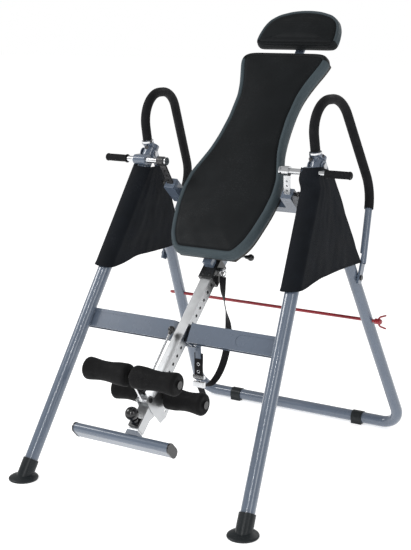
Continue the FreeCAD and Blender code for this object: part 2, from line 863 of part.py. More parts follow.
def headrest_pad():
    """D-shaped pad: straight lower edge, bowed upper edge."""
    level = -head_drop - head_thickness
    low, high, half = head_low, head_high, head_half
    right = [vec(half - 20, low, level), vec(half - 6, low + 6, level), vec(half, low + 24, level),
             vec(half - 12, high - 66, level), vec(half - 62, high - 18, level), vec(0, high, level)]
    left = [vec(-p.x, p.y, level) for p in right]
    edges = [Part.LineSegment(left[0], right[0]).toShape()]
    for side in (right, left):
        edges.append(Part.Arc(side[0], side[1], side[2]).toShape())
        edges.append(Part.LineSegment(side[2], side[3]).toShape())
        edges.append(Part.Arc(side[3], side[4], side[5]).toShape())
    face = Part.Face(Part.Wire(Part.sortEdges(edges)[0]))
    return on_bed(face.extrude(vec(0, 0, head_thickness)))


def headrest_post():
    """Flat bar that slides in its socket, welded to the plate behind the headrest."""
    back = -head_drop - head_thickness
    post = block((-post_width / 2, post_width / 2), (head_high - 60 - post_length, head_high - 60),
                 (post_top - post_thickness, post_top))
    spacer = block((-40, 40), (head_low + 40, head_high - 70), (post_top, back - 4))
    plate = block((-110, 110), (head_low + 24, head_high - 56), (back - 4, back))
    return on_bed(joined([post, spacer, plate]))


def headrest_socket():
    half = post_width / 2 + slide_gap
    high = pad_head - 30
    low = high - socket_length
    floor = post_top - post_thickness - slide_gap
    outer = block((-half - socket_wall, half + socket_wall), (low, high), (floor - socket_wall, spine_back))
    inner = block((-half, half), (low - 1, high + 1), (floor, post_top + slide_gap))
    return on_bed(outer.cut(inner))


# ---- leg shaft ----------------------------------------------------------------------------------
def main_shaft():
    """Square tube with a row of height holes through its sides."""
    outer = shaft_box(shaft_half, shaft_lower, shaft_upper)
    inner = shaft_box(shaft_half - shaft_wall, shaft_lower - 1, shaft_upper + 1)
    shape = outer.cut(inner)
    along = pin_along
    while along > front_roller[0] + 90:
        shape = shape.cut(Part.makeCylinder(pin_radius + 0.6, 60, vec(-30, along, -shaft_drop), X))
        along -= hole_pitch
    pin = Part.makeCylinder(pin_radius + running_gap, 60, knob_root - knob_way * 30, knob_way)
    return on_shaft(shape.cut(pin))


def footrest_stem():
    """Smaller square tube of the footrest, that telescopes into the shaft."""
    half = shaft_half - shaft_wall - slide_gap
    outer = shaft_box(half, foot_bar_along, stem_upper)
    inner = shaft_box(half - shaft_wall, foot_bar_along - 1, stem_upper + 1)
    return on_shaft(outer.cut(inner)).cut(foot_bar_solid())


clamp_bolt_radius = 5.0


def heel_brackets():
    """Two plates welded to the sides of the shaft: rear roller axle below, clamp pivot above."""
    u, n = rear_roller
    pu, pn = clamp_pivot
    outline = [(pu - 22, -214), (pu - 22, -290), (pu + 8, n - 54), (pu + 40, n - 50), (u + 23, n - 12),
               (u + 23, -208), (pu + 18, -197), (pu + 12, pn + 12), (pu - 12, pn + 12), (pu - 18, -197)]
    plates = []
    for side in (-1, 1):
        x = shaft_half if side > 0 else -shaft_half - heel_plate
        plate = prism([vec(x, a, b) for a, b in outline], X * heel_plate)
        hole = Part.makeCylinder(roller_axle, 20, vec(x - 5, u, n), X)
        small = Part.makeCylinder(5, 20, vec(x - 5, pu + 22, n - 34), X)
        pivot = Part.makeCylinder(clamp_bolt_radius, 20, vec(x - 5, pu, pn), X)
        plates.append(on_shaft(plate.cut(hole).cut(small).cut(pivot)))
    return Part.makeCompound(plates)


def roller_spindle(place):
    """Round axle with a washer cap at each end."""
    u, n = place
    shaft = Part.makeCylinder(roller_axle, 2 * roller_outer + 4, vec(-roller_outer - 2, u, n), X)
    cap = Part.makeCylinder(13, 4, vec(roller_outer + 2, u, n), X)
    return on_shaft(joined([shaft, cap, mirrored(cap)]))


def clamp_bolt():
    u, n = clamp_pivot
    grip = shaft_half + heel_plate
    shank = Part.makeCylinder(clamp_bolt_radius, 2 * grip, vec(-grip, u, n), X)
    head = Part.makeCylinder(8, 4, vec(grip, u, n), X)
    return on_shaft(joined([shank, head, mirrored(head)]))


arm_half = 4.0
arm_width_low = 26.0


def clamp_bracket():
    """Hub between the heel plates, with an arm up to the front roller axle."""
    u, n = clamp_pivot
    fu, fn = front_roller
    hub = Part.makeCylinder(10, 2 * (shaft_half - clearance), vec(-shaft_half + clearance, u, n), X)
    arm = prism([vec(-arm_half, u - arm_width_low / 2, n), vec(-arm_half, u + arm_width_low / 2, n),
                 vec(-arm_half, fu + 12, fn), vec(-arm_half, fu - 12, fn)], X * (2 * arm_half))
    below = block((-50, 50), (u - 60, u + 60), (n - 60, n - 9.9))
    boss = Part.makeCylinder(13, 12, vec(-6, fu, fn), X)
    shape = joined([hub, arm.cut(below), boss])
    hole = Part.makeCylinder(clamp_bolt_radius + running_gap, 100, vec(-50, u, n), X)
    axle = Part.makeCylinder(roller_axle, 40, vec(-20, fu, fn), X)
    return on_shaft(shape.cut(hole).cut(axle))


lever_rod = 4.0


def lever_wire():
    """Centre line of the lever: from the arm's left side, up in front of the shaft."""
    u, n = clamp_pivot
    x = -arm_half - lever_rod
    ball = vec(lever_ball_place[0], lever_ball_place[1], lever_ball_place[2])
    return [vec(x, u + 2, n + 22), vec(x - 1, u + 34, n + 14), ball]


def ankle_lever():
    """Bright rod from the clamp's arm, up beside the shaft."""
    wire = bent_wire(lever_wire(), [30])
    return on_shaft(sweep(wire, lever_rod)).cut(clamp_bracket())


def lever_ball():
    top = lever_wire()[-1]
    ball = Part.makeSphere(ball_radius, top)
    neck = Part.makeCone(5.5, 7, 12, top - vec(0, 20, 0), vec(0, 1, 0))
    rod = sweep(bent_wire(lever_wire(), [30]), lever_rod)
    return on_shaft(joined([ball, neck]).cut(rod))


def roller(place, inner):
    """Hourglass foam roller with a straight bore."""
    u, n = place
    length = roller_outer - inner
    steps = [0.0, 0.08, 0.28, 0.55, 0.8, 0.93, 1.0]
    radii = [roller_radius - 9, roller_radius, roller_radius - 1.5, roller_waist, roller_radius - 2,
             roller_radius, roller_radius - 9]
    outline = [vec(inner + length * t, r, 0) for t, r in zip(steps, radii)]
    curve = Part.BSplineCurve()
    curve.interpolate(outline)
    low = vec(inner, roller_axle + running_gap, 0)
    high = vec(roller_outer, roller_axle + running_gap, 0)
    edges = [curve.toShape(), Part.LineSegment(outline[-1], high).toShape(),
             Part.LineSegment(high, low).toShape(), Part.LineSegment(low, outline[0]).toShape()]
    foam = Part.Face(Part.Wire(edges)).revolve(vec(0, 0, 0), X, 360)
    foam.translate(vec(0, u, n))
    return on_shaft(foam)


# ---- footrest -----------------------------------------------------------------------------------
foot_bar_level = -shaft_drop + 38


def flat_oval(depth, width, half, start):
    """Bar along X with a flat oval section."""
    u = foot_bar_along
    n = foot_bar_level
    flat = (width - depth) / 2
    pieces = [block((start, start + half), (u - depth / 2, u + depth / 2), (n - flat, n + flat))]
    for side in (-flat, flat):
        pieces.append(Part.makeCylinder(depth / 2, half, vec(start, u, n + side), X))
    return joined(pieces)


def foot_bar_solid():
    return on_shaft(flat_oval(foot_bar_depth, foot_bar_width, 2 * foot_bar_half, -foot_bar_half))


def footrest_bar():
    """Flat oval tube across the end of the stem, with its square socket."""
    inner = flat_oval(foot_bar_depth - 2 * tube_wall, foot_bar_width - 2 * tube_wall,
                      2 * foot_bar_half + 2, -foot_bar_half - 1)
    socket = on_shaft(shaft_box(socket_half, foot_bar_along, socket_upper)).cut(foot_bar_solid())
    bore = shaft_box(shaft_half - shaft_wall - slide_gap, foot_bar_along - 60, socket_upper + 1)
    tube = foot_bar_solid().cut(on_shaft(inner))
    return joined([tube, socket.cut(on_shaft(bore).cut(foot_bar_solid()))])


def footrest_caps():
    """Black plugs over both ends of the footrest bar."""
    cap = on_shaft(flat_oval(foot_bar_depth + 2, foot_bar_width + 2, 5, foot_bar_half))
    return Part.makeCompound([cap, mirrored(cap)])


knob_way = vec(0, math.cos(math.radians(knob_lean)), math.sin(math.radians(knob_lean)))
knob_root = vec(0, knob_along, -shaft_drop + shaft_half)
barrel_length = 20.0


def footrest_barrel():
    """Spring barrel of the footrest's lock pin, on the front of the shaft's end."""
    barrel = Part.makeCylinder(14, barrel_length + 8, knob_root - knob_way * 8, knob_way)
    base = block((-shaft_half, shaft_half), (knob_along - 16, knob_along + 14),
                 (knob_root.z, knob_root.z + 8))
    bore = Part.makeCylinder(pin_radius + running_gap, 90, knob_root - knob_way * 30, knob_way)
    shaft = shaft_box(shaft_half, shaft_lower, shaft_upper)
    below = block((-40, 40), (-1100, -700), (-300, knob_root.z))
    return on_shaft(joined([barrel.cut(shaft), base]).cut(bore).cut(below))


def footrest_knob():
    """Ball knob and its pin, with the pin just clear of the stem."""
    gap = barrel_length + clearance
    pin = Part.makeCylinder(pin_radius, gap + 8, knob_root, knob_way)
    ball = Part.makeSphere(knob_radius, knob_root + knob_way * (gap + knob_radius))
    neck = Part.makeCylinder(11, 8, knob_root + knob_way * gap, knob_way)
    return on_shaft(joined([pin, ball, neck]))


# ---- tether strap -------------------------------------------------------------------------------
strap_route = [(503, 657), (501, 613), (511, 568), (532, 518), (543, 467), (536, 416), (519, 370),
               (490, 330), (450, 303), (408, 296), (362, 312)]


def strap_run(route, width, thickness, x):
    """Flat webbing that follows a route of (back, up) points, on edge to X."""
    points = [vec(x - width / 2, y, z) for y, z in route]
    radii = []
    for a, b, c in zip(points, points[1:], points[2:]):
        turn = math.pi - (a - b).getAngle(c - b)
        radii.append(0.45 * min((a - b).Length, (c - b).Length) / math.tan(turn / 2))
    wire = bent_wire(points, radii)
    print("strap radii", [round(r) for r in radii], "length", round(wire.Length))
    start = wire.Edges[0].tangentAt(wire.Edges[0].FirstParameter)
    side = start.cross(X).normalize()
    first = points[0] + side * (thickness / 2)
    corners = [first, first - side * thickness, first - side * thickness + X * width, first + X * width]
    section = Part.makePolygon(corners + [corners[0]])
    return wire.makePipeShell([section], True, True)


def tether_strap():
    strap = strap_run(strap_route, strap_width, strap_thickness, strap_x)
    for neighbour in (strap_ring(), tether_buckle()):
        strap = strap.cut(neighbour)
    return sorted(strap.Solids, key=lambda s: s.Volume)[-1]


def belt_place():
    """Centre of the belt's top eyelet: just behind the tab."""
    back, up = cradle_corner()
    return vec(strap_x, back - 3 + clearance, up - 22)


belt_length = 84.0
tail_length = 92.0           # free end of the webbing below the buckle
tail_lean = 24.0
eyelets = (0.0, 30.0, 56.0)


def tether_belt():
    """Short belt with a round top, hung on its stud, that carries the buckle."""
    top = belt_place()
    belt = block((top.x - belt_width / 2, top.x + belt_width / 2), (top.y, top.y + 3),
                 (top.z - belt_length, top.z))
    shape = joined([belt, Part.makeCylinder(belt_width / 2, 3, top, vec(0, 1, 0))])
    for drop in eyelets:
        shape = shape.cut(Part.makeCylinder(3.5, 9, top - vec(0, 3, drop), vec(0, 1, 0)))
    tail = block((-strap_width / 2, strap_width / 2), (0, strap_thickness), (-tail_length, 0))
    tail.rotate(vec(0, 0, 0), X, tail_lean)
    tail.translate(top + vec(0, 3, -belt_length - 30))
    return Part.makeCompound([shape, tail])


def tether_buckle():
    """Bright pieces on the belt: stud, eyelet rims, keeper and buckle frame."""
    top = belt_place()
    stud = Part.makeCylinder(3.4, 8, top - vec(0, 0.2, 0), vec(0, 1, 0))
    head = Part.makeCylinder(6.5, 3, top + vec(0, 3.3, 0), vec(0, 1, 0))
    pieces = [joined([stud, head])]
    for drop in eyelets[1:]:
        rim = Part.makeCylinder(6, 1.2, top + vec(0, 3, -drop), vec(0, 1, 0))
        pieces.append(rim.cut(Part.makeCylinder(3.5, 9, top - vec(0, 3, drop), vec(0, 1, 0))))
    half = belt_width / 2 + 4
    for low, high in ((-belt_length + 4, -belt_length + 16), (-belt_length - 26, -belt_length - 8)):
        frame = block((top.x - half, top.x + half), (top.y - 4, top.y + 7), (top.z + low, top.z + high))
        window = block((top.x - half + 3, top.x + half - 3), (top.y - 1, top.y + 4),
                       (top.z + low - 1, top.z + high + 1))
        pieces.append(frame.cut(window))
    bridge = block((top.x - 3, top.x + 3), (top.y + 4, top.y + 7),
                   (top.z - belt_length - 8, top.z - belt_length + 4))
    return Part.makeCompound([pieces[0]] + pieces[1:-2] + [joined([pieces[-2], pieces[-1], bridge])])


# ---- build --------------------------------------------------------------------------------------
def both(shape):
    return Part.makeCompound([shape, mirrored(shape)])


print("feet line", round(feet_line, 2), "cradle floor", round(cradle_floor, 2))
for name, right in (
    ("front_leg", front_leg()),
    ("handlebar", handlebar()),
    ("side_cover", side_cover()),
    ("rear_leg", rear_leg()),
    ("pivot_arm", pivot_arm()),
    ("front_roller", roller(front_roller, front_roller_inner)),
    ("rear_roller", roller(rear_roller, rear_roller_inner)),
):
    save_pair(name, right)
save("front_feet", both(foot()))
save("crossbar", crossbar())
save("cradle_bumper", cradle_bumper())
save("leg_collars", both(leg_collar()))
save("foam_grips", both(foam_grip()))
save("collar_rings", collar_rings())
heads = collar_bolts()
save("handlebar_bolts", Part.makeCompound(heads + [mirrored(h) for h in heads] + handlebar_bolts()))
save("axle_brackets", both(axle_bracket()))
save("tilt_axle_bars", both(axle_bar()))
save("side_grips", both(side_grip()))
save("rear_rail", rear_rail())
save("floor_pads", both(floor_pad()))
save("hinge_plates", both(hinge_plates()))
save("fold_pivots", both(fold_pivot()))
save("stop_rod", stop_rod())
save("rod_knob", Part.makeCompound([rod_knob()] + wing_handle()))
save("backrest_pad", backrest_pad())
save("bed_board", bed_board())
save("bed_spine", bed_spine())
save("shaft_housing", shaft_housing())
save("crossmember", crossmember())
save("bed_brackets", both(bed_bracket()))
save("arm_knobs", arm_knobs())
save("shaft_bushing", shaft_bushing())
save("strap_ring", strap_ring())
save("height_pin", height_pin())
save("height_pin_ball", height_pin_ball())
save("headrest_pad", headrest_pad())
save("headrest_post", headrest_post())
save("headrest_socket", headrest_socket())
save("main_shaft", main_shaft())
save("heel_brackets", heel_brackets())
save("rear_roller_axle", roller_spindle(rear_roller))
save("front_roller_axle", roller_spindle(front_roller))
save("clamp_bolt", clamp_bolt())
save("clamp_bracket", clamp_bracket())
save("ankle_lever", ankle_lever())
save("lever_ball", lever_ball())
save("footrest_stem", footrest_stem())
save("footrest_bar", footrest_bar())
save("footrest_caps", footrest_caps())
save("footrest_barrel", footrest_barrel())
save("footrest_knob", footrest_knob())
save("tether_strap", tether_strap())
save("tether_belt", tether_belt())
save("tether_buckle", tether_buckle())
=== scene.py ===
import math

import bmesh
import bpy
import numpy as np
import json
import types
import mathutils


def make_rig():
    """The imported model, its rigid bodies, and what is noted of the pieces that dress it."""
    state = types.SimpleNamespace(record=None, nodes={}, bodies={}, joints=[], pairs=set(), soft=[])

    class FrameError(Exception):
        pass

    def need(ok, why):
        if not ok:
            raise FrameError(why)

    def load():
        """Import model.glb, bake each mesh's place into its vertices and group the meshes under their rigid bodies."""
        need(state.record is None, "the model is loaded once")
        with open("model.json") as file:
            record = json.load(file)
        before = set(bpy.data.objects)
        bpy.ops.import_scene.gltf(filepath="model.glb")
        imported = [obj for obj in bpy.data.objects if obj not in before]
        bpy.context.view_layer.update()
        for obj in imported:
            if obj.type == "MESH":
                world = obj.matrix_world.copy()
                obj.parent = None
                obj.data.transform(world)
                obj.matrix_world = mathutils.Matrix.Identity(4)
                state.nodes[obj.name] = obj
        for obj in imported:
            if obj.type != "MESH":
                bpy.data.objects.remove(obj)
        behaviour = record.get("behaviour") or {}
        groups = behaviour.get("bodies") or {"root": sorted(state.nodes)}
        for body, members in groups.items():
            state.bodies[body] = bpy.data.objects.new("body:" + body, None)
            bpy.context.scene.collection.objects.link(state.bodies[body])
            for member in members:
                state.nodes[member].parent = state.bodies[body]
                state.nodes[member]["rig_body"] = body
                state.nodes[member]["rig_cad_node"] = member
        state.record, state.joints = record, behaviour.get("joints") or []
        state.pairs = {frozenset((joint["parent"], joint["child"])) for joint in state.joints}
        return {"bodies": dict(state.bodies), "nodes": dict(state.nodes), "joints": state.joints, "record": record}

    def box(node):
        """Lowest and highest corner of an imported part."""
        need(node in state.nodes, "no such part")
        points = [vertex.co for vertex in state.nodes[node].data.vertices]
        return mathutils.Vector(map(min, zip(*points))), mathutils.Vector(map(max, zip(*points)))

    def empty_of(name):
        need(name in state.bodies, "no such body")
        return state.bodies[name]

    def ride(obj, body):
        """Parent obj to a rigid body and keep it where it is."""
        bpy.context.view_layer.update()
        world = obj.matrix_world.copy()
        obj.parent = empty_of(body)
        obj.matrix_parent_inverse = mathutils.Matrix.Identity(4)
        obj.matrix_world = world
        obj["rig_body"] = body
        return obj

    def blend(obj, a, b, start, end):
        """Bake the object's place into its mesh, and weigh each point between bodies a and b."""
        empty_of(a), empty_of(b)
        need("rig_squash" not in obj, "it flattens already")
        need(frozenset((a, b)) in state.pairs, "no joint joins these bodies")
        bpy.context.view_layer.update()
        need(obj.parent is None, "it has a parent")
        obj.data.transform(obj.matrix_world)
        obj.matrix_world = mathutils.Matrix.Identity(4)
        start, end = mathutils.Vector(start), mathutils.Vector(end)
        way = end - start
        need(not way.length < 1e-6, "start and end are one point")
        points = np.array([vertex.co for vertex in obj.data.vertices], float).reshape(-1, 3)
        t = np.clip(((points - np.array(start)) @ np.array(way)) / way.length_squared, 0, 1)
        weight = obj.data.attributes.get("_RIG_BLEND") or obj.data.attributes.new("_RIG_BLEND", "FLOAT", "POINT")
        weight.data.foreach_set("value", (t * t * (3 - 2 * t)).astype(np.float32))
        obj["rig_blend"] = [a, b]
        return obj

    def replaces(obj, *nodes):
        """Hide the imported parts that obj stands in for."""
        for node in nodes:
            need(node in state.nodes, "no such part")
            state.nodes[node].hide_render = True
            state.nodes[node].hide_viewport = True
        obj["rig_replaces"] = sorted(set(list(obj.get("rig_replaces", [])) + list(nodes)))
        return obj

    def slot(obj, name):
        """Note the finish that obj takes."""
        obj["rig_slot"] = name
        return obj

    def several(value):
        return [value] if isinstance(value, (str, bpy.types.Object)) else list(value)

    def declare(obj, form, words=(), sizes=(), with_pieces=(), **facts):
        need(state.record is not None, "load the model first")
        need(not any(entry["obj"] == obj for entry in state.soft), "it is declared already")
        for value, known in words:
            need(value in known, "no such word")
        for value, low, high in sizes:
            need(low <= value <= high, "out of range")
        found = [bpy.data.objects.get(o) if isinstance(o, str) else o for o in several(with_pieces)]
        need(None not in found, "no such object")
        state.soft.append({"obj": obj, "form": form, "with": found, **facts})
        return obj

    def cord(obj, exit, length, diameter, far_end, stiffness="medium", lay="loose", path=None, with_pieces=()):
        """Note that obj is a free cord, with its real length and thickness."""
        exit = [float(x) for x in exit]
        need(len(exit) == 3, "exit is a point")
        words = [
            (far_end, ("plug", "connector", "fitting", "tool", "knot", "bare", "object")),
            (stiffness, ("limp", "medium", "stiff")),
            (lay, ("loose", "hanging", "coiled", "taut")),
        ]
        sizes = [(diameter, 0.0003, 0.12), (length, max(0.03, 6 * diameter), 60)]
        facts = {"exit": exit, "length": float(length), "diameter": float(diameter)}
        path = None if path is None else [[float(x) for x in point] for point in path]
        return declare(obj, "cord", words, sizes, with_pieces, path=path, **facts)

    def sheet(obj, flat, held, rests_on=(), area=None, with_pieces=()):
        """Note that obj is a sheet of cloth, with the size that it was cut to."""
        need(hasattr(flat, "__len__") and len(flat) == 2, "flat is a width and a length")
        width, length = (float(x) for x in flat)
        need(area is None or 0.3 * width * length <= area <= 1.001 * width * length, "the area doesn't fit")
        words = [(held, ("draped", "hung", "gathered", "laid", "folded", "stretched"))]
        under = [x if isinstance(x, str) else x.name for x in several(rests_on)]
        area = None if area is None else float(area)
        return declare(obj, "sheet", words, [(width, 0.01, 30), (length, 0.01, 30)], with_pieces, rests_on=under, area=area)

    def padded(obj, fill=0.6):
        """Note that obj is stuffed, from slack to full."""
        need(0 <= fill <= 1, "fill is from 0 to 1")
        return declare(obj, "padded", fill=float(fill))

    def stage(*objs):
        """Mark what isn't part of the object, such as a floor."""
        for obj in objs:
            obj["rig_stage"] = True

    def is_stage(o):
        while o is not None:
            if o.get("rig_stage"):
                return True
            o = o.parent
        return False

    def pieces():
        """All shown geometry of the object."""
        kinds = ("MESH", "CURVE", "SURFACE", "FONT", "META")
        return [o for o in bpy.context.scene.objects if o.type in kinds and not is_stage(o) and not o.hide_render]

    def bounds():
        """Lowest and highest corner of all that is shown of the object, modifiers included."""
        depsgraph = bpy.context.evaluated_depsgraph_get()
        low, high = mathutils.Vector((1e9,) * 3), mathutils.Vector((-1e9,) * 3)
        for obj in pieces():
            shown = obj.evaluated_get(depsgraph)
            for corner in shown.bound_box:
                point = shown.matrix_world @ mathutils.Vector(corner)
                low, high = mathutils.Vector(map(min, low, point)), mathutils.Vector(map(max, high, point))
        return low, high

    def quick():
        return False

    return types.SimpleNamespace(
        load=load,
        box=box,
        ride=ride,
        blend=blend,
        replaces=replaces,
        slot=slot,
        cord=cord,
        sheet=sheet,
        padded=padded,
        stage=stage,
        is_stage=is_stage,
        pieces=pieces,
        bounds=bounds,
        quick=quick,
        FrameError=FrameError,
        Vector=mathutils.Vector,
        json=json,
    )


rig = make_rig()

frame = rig.load()
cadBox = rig.bounds()
nodes = frame["nodes"]
print("frame loaded:", len(nodes), "CAD nodes")

# the bed and the leg shaft both turn about the tilt axle
axleLow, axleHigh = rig.box("tilt_axle_bars")
axleY = (axleLow.y + axleHigh.y) / 2
axleZ = (axleLow.z + axleHigh.z) / 2
bedAngle = math.radians(48.65)
shaftAngle = math.radians(43.7)


def leanPlace(points, angle):
    # turns (across, along, above) about the tilt axle by an angle and moves it to the axle
    x, u, n = points[..., 0], points[..., 1], points[..., 2]
    y = axleY + u * math.cos(angle) - n * math.sin(angle)
    z = axleZ + u * math.sin(angle) + n * math.cos(angle)
    return np.stack([x, y, z], axis=-1)


def smoothStep(a, b, t):
    # 0 before a, 1 after b, an S curve between
    s = np.clip((t - a) / (b - a), 0, 1)
    return s * s * (3 - 2 * s)


# meshes from numpy grids
def gridFaces(rows, columns, wrapRows, wrapColumns):
    # four corners of each cell of a grid of points, row by row
    r = np.arange(rows if wrapRows else rows - 1)
    c = np.arange(columns if wrapColumns else columns - 1)
    i, j = np.meshgrid(r, c, indexing="ij")
    up, side = (i + 1) % rows, (j + 1) % columns
    return np.stack([i * columns + j, i * columns + side, up * columns + side, up * columns + j],
                    axis=-1).reshape(-1, 4)


def meshFromGrid(name, grid, wrapRows=False, wrapColumns=False, masks=None, flip=False):
    # puts a grid of points into a mesh object, with one float attribute for each mask
    rows, columns = grid.shape[:2]
    faces = gridFaces(rows, columns, wrapRows, wrapColumns)
    if flip:
        faces = faces[:, ::-1]
    mesh = bpy.data.meshes.new(name)
    mesh.from_pydata(grid.reshape(-1, 3).tolist(), [], faces.tolist())
    for key, values in (masks or {}).items():
        attribute = mesh.attributes.new(key, "FLOAT", "POINT")
        attribute.data.foreach_set("value", np.asarray(values, np.float32).reshape(-1))
    mesh.polygons.foreach_set("use_smooth", np.ones(len(mesh.polygons), bool))
    piece = bpy.data.objects.new(name, mesh)
    bpy.context.scene.collection.objects.link(piece)
    return piece


def cleanMesh(piece, mergeBy=1e-5):
    # merges doubled points, drops what has no area and points every face outwards
    bm = bmesh.new()
    bm.from_mesh(piece.data)
    bmesh.ops.remove_doubles(bm, verts=bm.verts, dist=mergeBy)
    bmesh.ops.dissolve_degenerate(bm, edges=bm.edges, dist=mergeBy)
    bmesh.ops.recalc_face_normals(bm, faces=bm.faces)
    bm.to_mesh(piece.data)
    bm.free()
    piece.data.polygons.foreach_set("use_smooth", np.ones(len(piece.data.polygons), bool))
    return piece


def joinPieces(name, parts):
    # several mesh objects made into one, keeping their materials
    bm = bmesh.new()
    slots = []
    for part in parts:
        start = len(bm.faces)
        bm.from_mesh(part.data)
        bm.faces.ensure_lookup_table()
        for material in part.data.materials:
            if material not in slots:
                slots.append(material)
        if part.data.materials:
            place = slots.index(part.data.materials[0])
            for face in bm.faces[start:]:
                face.material_index = place
    mesh = bpy.data.meshes.new(name)
    bm.to_mesh(mesh)
    bm.free()
    for material in slots:
        mesh.materials.append(material)
    for part in parts:
        bpy.data.objects.remove(part)
    piece = bpy.data.objects.new(name, mesh)
    bpy.context.scene.collection.objects.link(piece)
    mesh.polygons.foreach_set("use_smooth", np.ones(len(mesh.polygons), bool))
    return piece


def applyModifiers(piece):
    depsgraph = bpy.context.evaluated_depsgraph_get()
    done = bpy.data.meshes.new_from_object(piece.evaluated_get(depsgraph))
    piece.modifiers.clear()
    piece.data = done
    piece.data.polygons.foreach_set("use_smooth", np.ones(len(done.polygons), bool))
    return piece


# shared shader groups
def newGroup(name, inputs, outputs):
    group = bpy.data.node_groups.new(name, "ShaderNodeTree")
    for label, kind, value in inputs:
        socket = group.interface.new_socket(label, in_out="INPUT", socket_type=kind)
        if value is not None:
            socket.default_value = value
    for label, kind in outputs:
        group.interface.new_socket(label, in_out="OUTPUT", socket_type=kind)
    return group, group.nodes.new("NodeGroupInput"), group.nodes.new("NodeGroupOutput")


def mathNode(tree, operation, first, second=None, third=None, clamp=False):
    node = tree.nodes.new("ShaderNodeMath")
    node.operation = operation
    node.use_clamp = clamp
    for k, value in enumerate((first, second, third)):
        if value is None:
            continue
        if isinstance(value, (int, float)):
            node.inputs[k].default_value = value
        else:
            tree.links.new(value, node.inputs[k])
    return node.outputs[0]


def noiseNode(tree, vector, scale, detail=4.0, roughness=0.5):
    node = tree.nodes.new("ShaderNodeTexNoise")
    node.inputs["Scale"].default_value = scale
    node.inputs["Detail"].default_value = detail
    node.inputs["Roughness"].default_value = roughness
    tree.links.new(vector, node.inputs["Vector"])
    return node.outputs["Fac"]


def rangeNode(tree, value, low, high, toLow, toHigh):
    node = tree.nodes.new("ShaderNodeMapRange")
    for k, number in enumerate((low, high, toLow, toHigh), start=1):
        if isinstance(number, (int, float)):
            node.inputs[k].default_value = number
        else:
            tree.links.new(number, node.inputs[k])
    tree.links.new(value, node.inputs[0])
    return node.outputs[0]


def mixColours(tree, factor, first, second, blend="MIX"):
    node = tree.nodes.new("ShaderNodeMix")
    node.data_type = "RGBA"
    node.blend_type = blend
    sockets = [node.inputs[0], node.inputs[6], node.inputs[7]]
    for socket, value in zip(sockets, (factor, first, second)):
        if isinstance(value, (int, float)):
            socket.default_value = value
        elif isinstance(value, (tuple, list)):
            socket.default_value = (*value, 1)[:4]
        else:
            tree.links.new(value, socket)
    return node.outputs[2]


def surfaceDust(group="dustFilm"):
    # large soft patches broken by fine specks: a thin film of dust and handling marks
    tree, source, out = newGroup(group, [("Vector", "NodeSocketVector", None),
                    ("Amount", "NodeSocketFloat", 0.3)],
            [("Mask", "NodeSocketFloat")])
    patches = rangeNode(tree, noiseNode(tree, source.outputs["Vector"], 9, 3), 0.42, 0.7, 0, 1)
    specks = rangeNode(tree, noiseNode(tree, source.outputs["Vector"], 260, 2), 0.5, 0.72, 0, 1)
    both = mathNode(tree, "MULTIPLY", patches, specks)
    both = mathNode(tree, "MULTIPLY", both, source.outputs["Amount"], clamp=True)
    tree.links.new(both, out.inputs["Mask"])
    return tree


def orangePeel(group="orangePeel"):
    # low even waviness of sprayed or moulded skins, as a height and a roughness shift
    tree, source, out = newGroup(group, [("Vector", "NodeSocketVector", None),
                    ("Scale", "NodeSocketFloat", 300.0)],
            [("Height", "NodeSocketFloat"), ("Variation", "NodeSocketFloat")])
    noise = tree.nodes.new("ShaderNodeTexNoise")
    noise.inputs["Detail"].default_value = 2
    tree.links.new(source.outputs["Vector"], noise.inputs["Vector"])
    tree.links.new(source.outputs["Scale"], noise.inputs["Scale"])
    tree.links.new(noise.outputs["Fac"], out.inputs["Height"])
    slow = noiseNode(tree, source.outputs["Vector"], 14, 3)
    tree.links.new(rangeNode(tree, slow, 0.3, 0.7, -1, 1), out.inputs["Variation"])
    return tree


def clothWeave(group="clothWeave"):
    # two crossing sets of threads; over and under alternate like a plain weave
    tree, source, out = newGroup(group, [("Vector", "NodeSocketVector", None),
                    ("Pitch", "NodeSocketFloat", 900.0)],
            [("Height", "NodeSocketFloat"), ("Gap", "NodeSocketFloat")])
    parts = tree.nodes.new("ShaderNodeSeparateXYZ")
    tree.links.new(source.outputs["Vector"], parts.inputs[0])
    pitch = source.outputs["Pitch"]
    first = mathNode(tree, "SINE", mathNode(tree, "MULTIPLY", parts.outputs[0], pitch))
    second = mathNode(tree, "SINE", mathNode(tree, "MULTIPLY", parts.outputs[1], pitch))
    product = mathNode(tree, "MULTIPLY", first, second)
    height = mathNode(tree, "MULTIPLY_ADD", product, 0.5, 0.5)
    tree.links.new(height, out.inputs["Height"])
    gap = mathNode(tree, "MULTIPLY", mathNode(tree, "ABSOLUTE", first), mathNode(tree, "ABSOLUTE", second))
    tree.links.new(rangeNode(tree, gap, 0, 0.35, 1, 0), out.inputs["Gap"])
    return tree


def leatherGrain(group="leatherGrain"):
    # pebbled cells with fine pores between them
    tree, source, out = newGroup(group, [("Vector", "NodeSocketVector", None),
                    ("Scale", "NodeSocketFloat", 700.0)],
            [("Height", "NodeSocketFloat"), ("Crease", "NodeSocketFloat")])
    cells = tree.nodes.new("ShaderNodeTexVoronoi")
    cells.feature = "SMOOTH_F1"
    tree.links.new(source.outputs["Vector"], cells.inputs["Vector"])
    tree.links.new(source.outputs["Scale"], cells.inputs["Scale"])
    tree.links.new(cells.outputs["Distance"], out.inputs["Crease"])
    height = mathNode(tree, "SUBTRACT", 1.0, cells.outputs["Distance"])
    tree.links.new(height, out.inputs["Height"])
    return tree


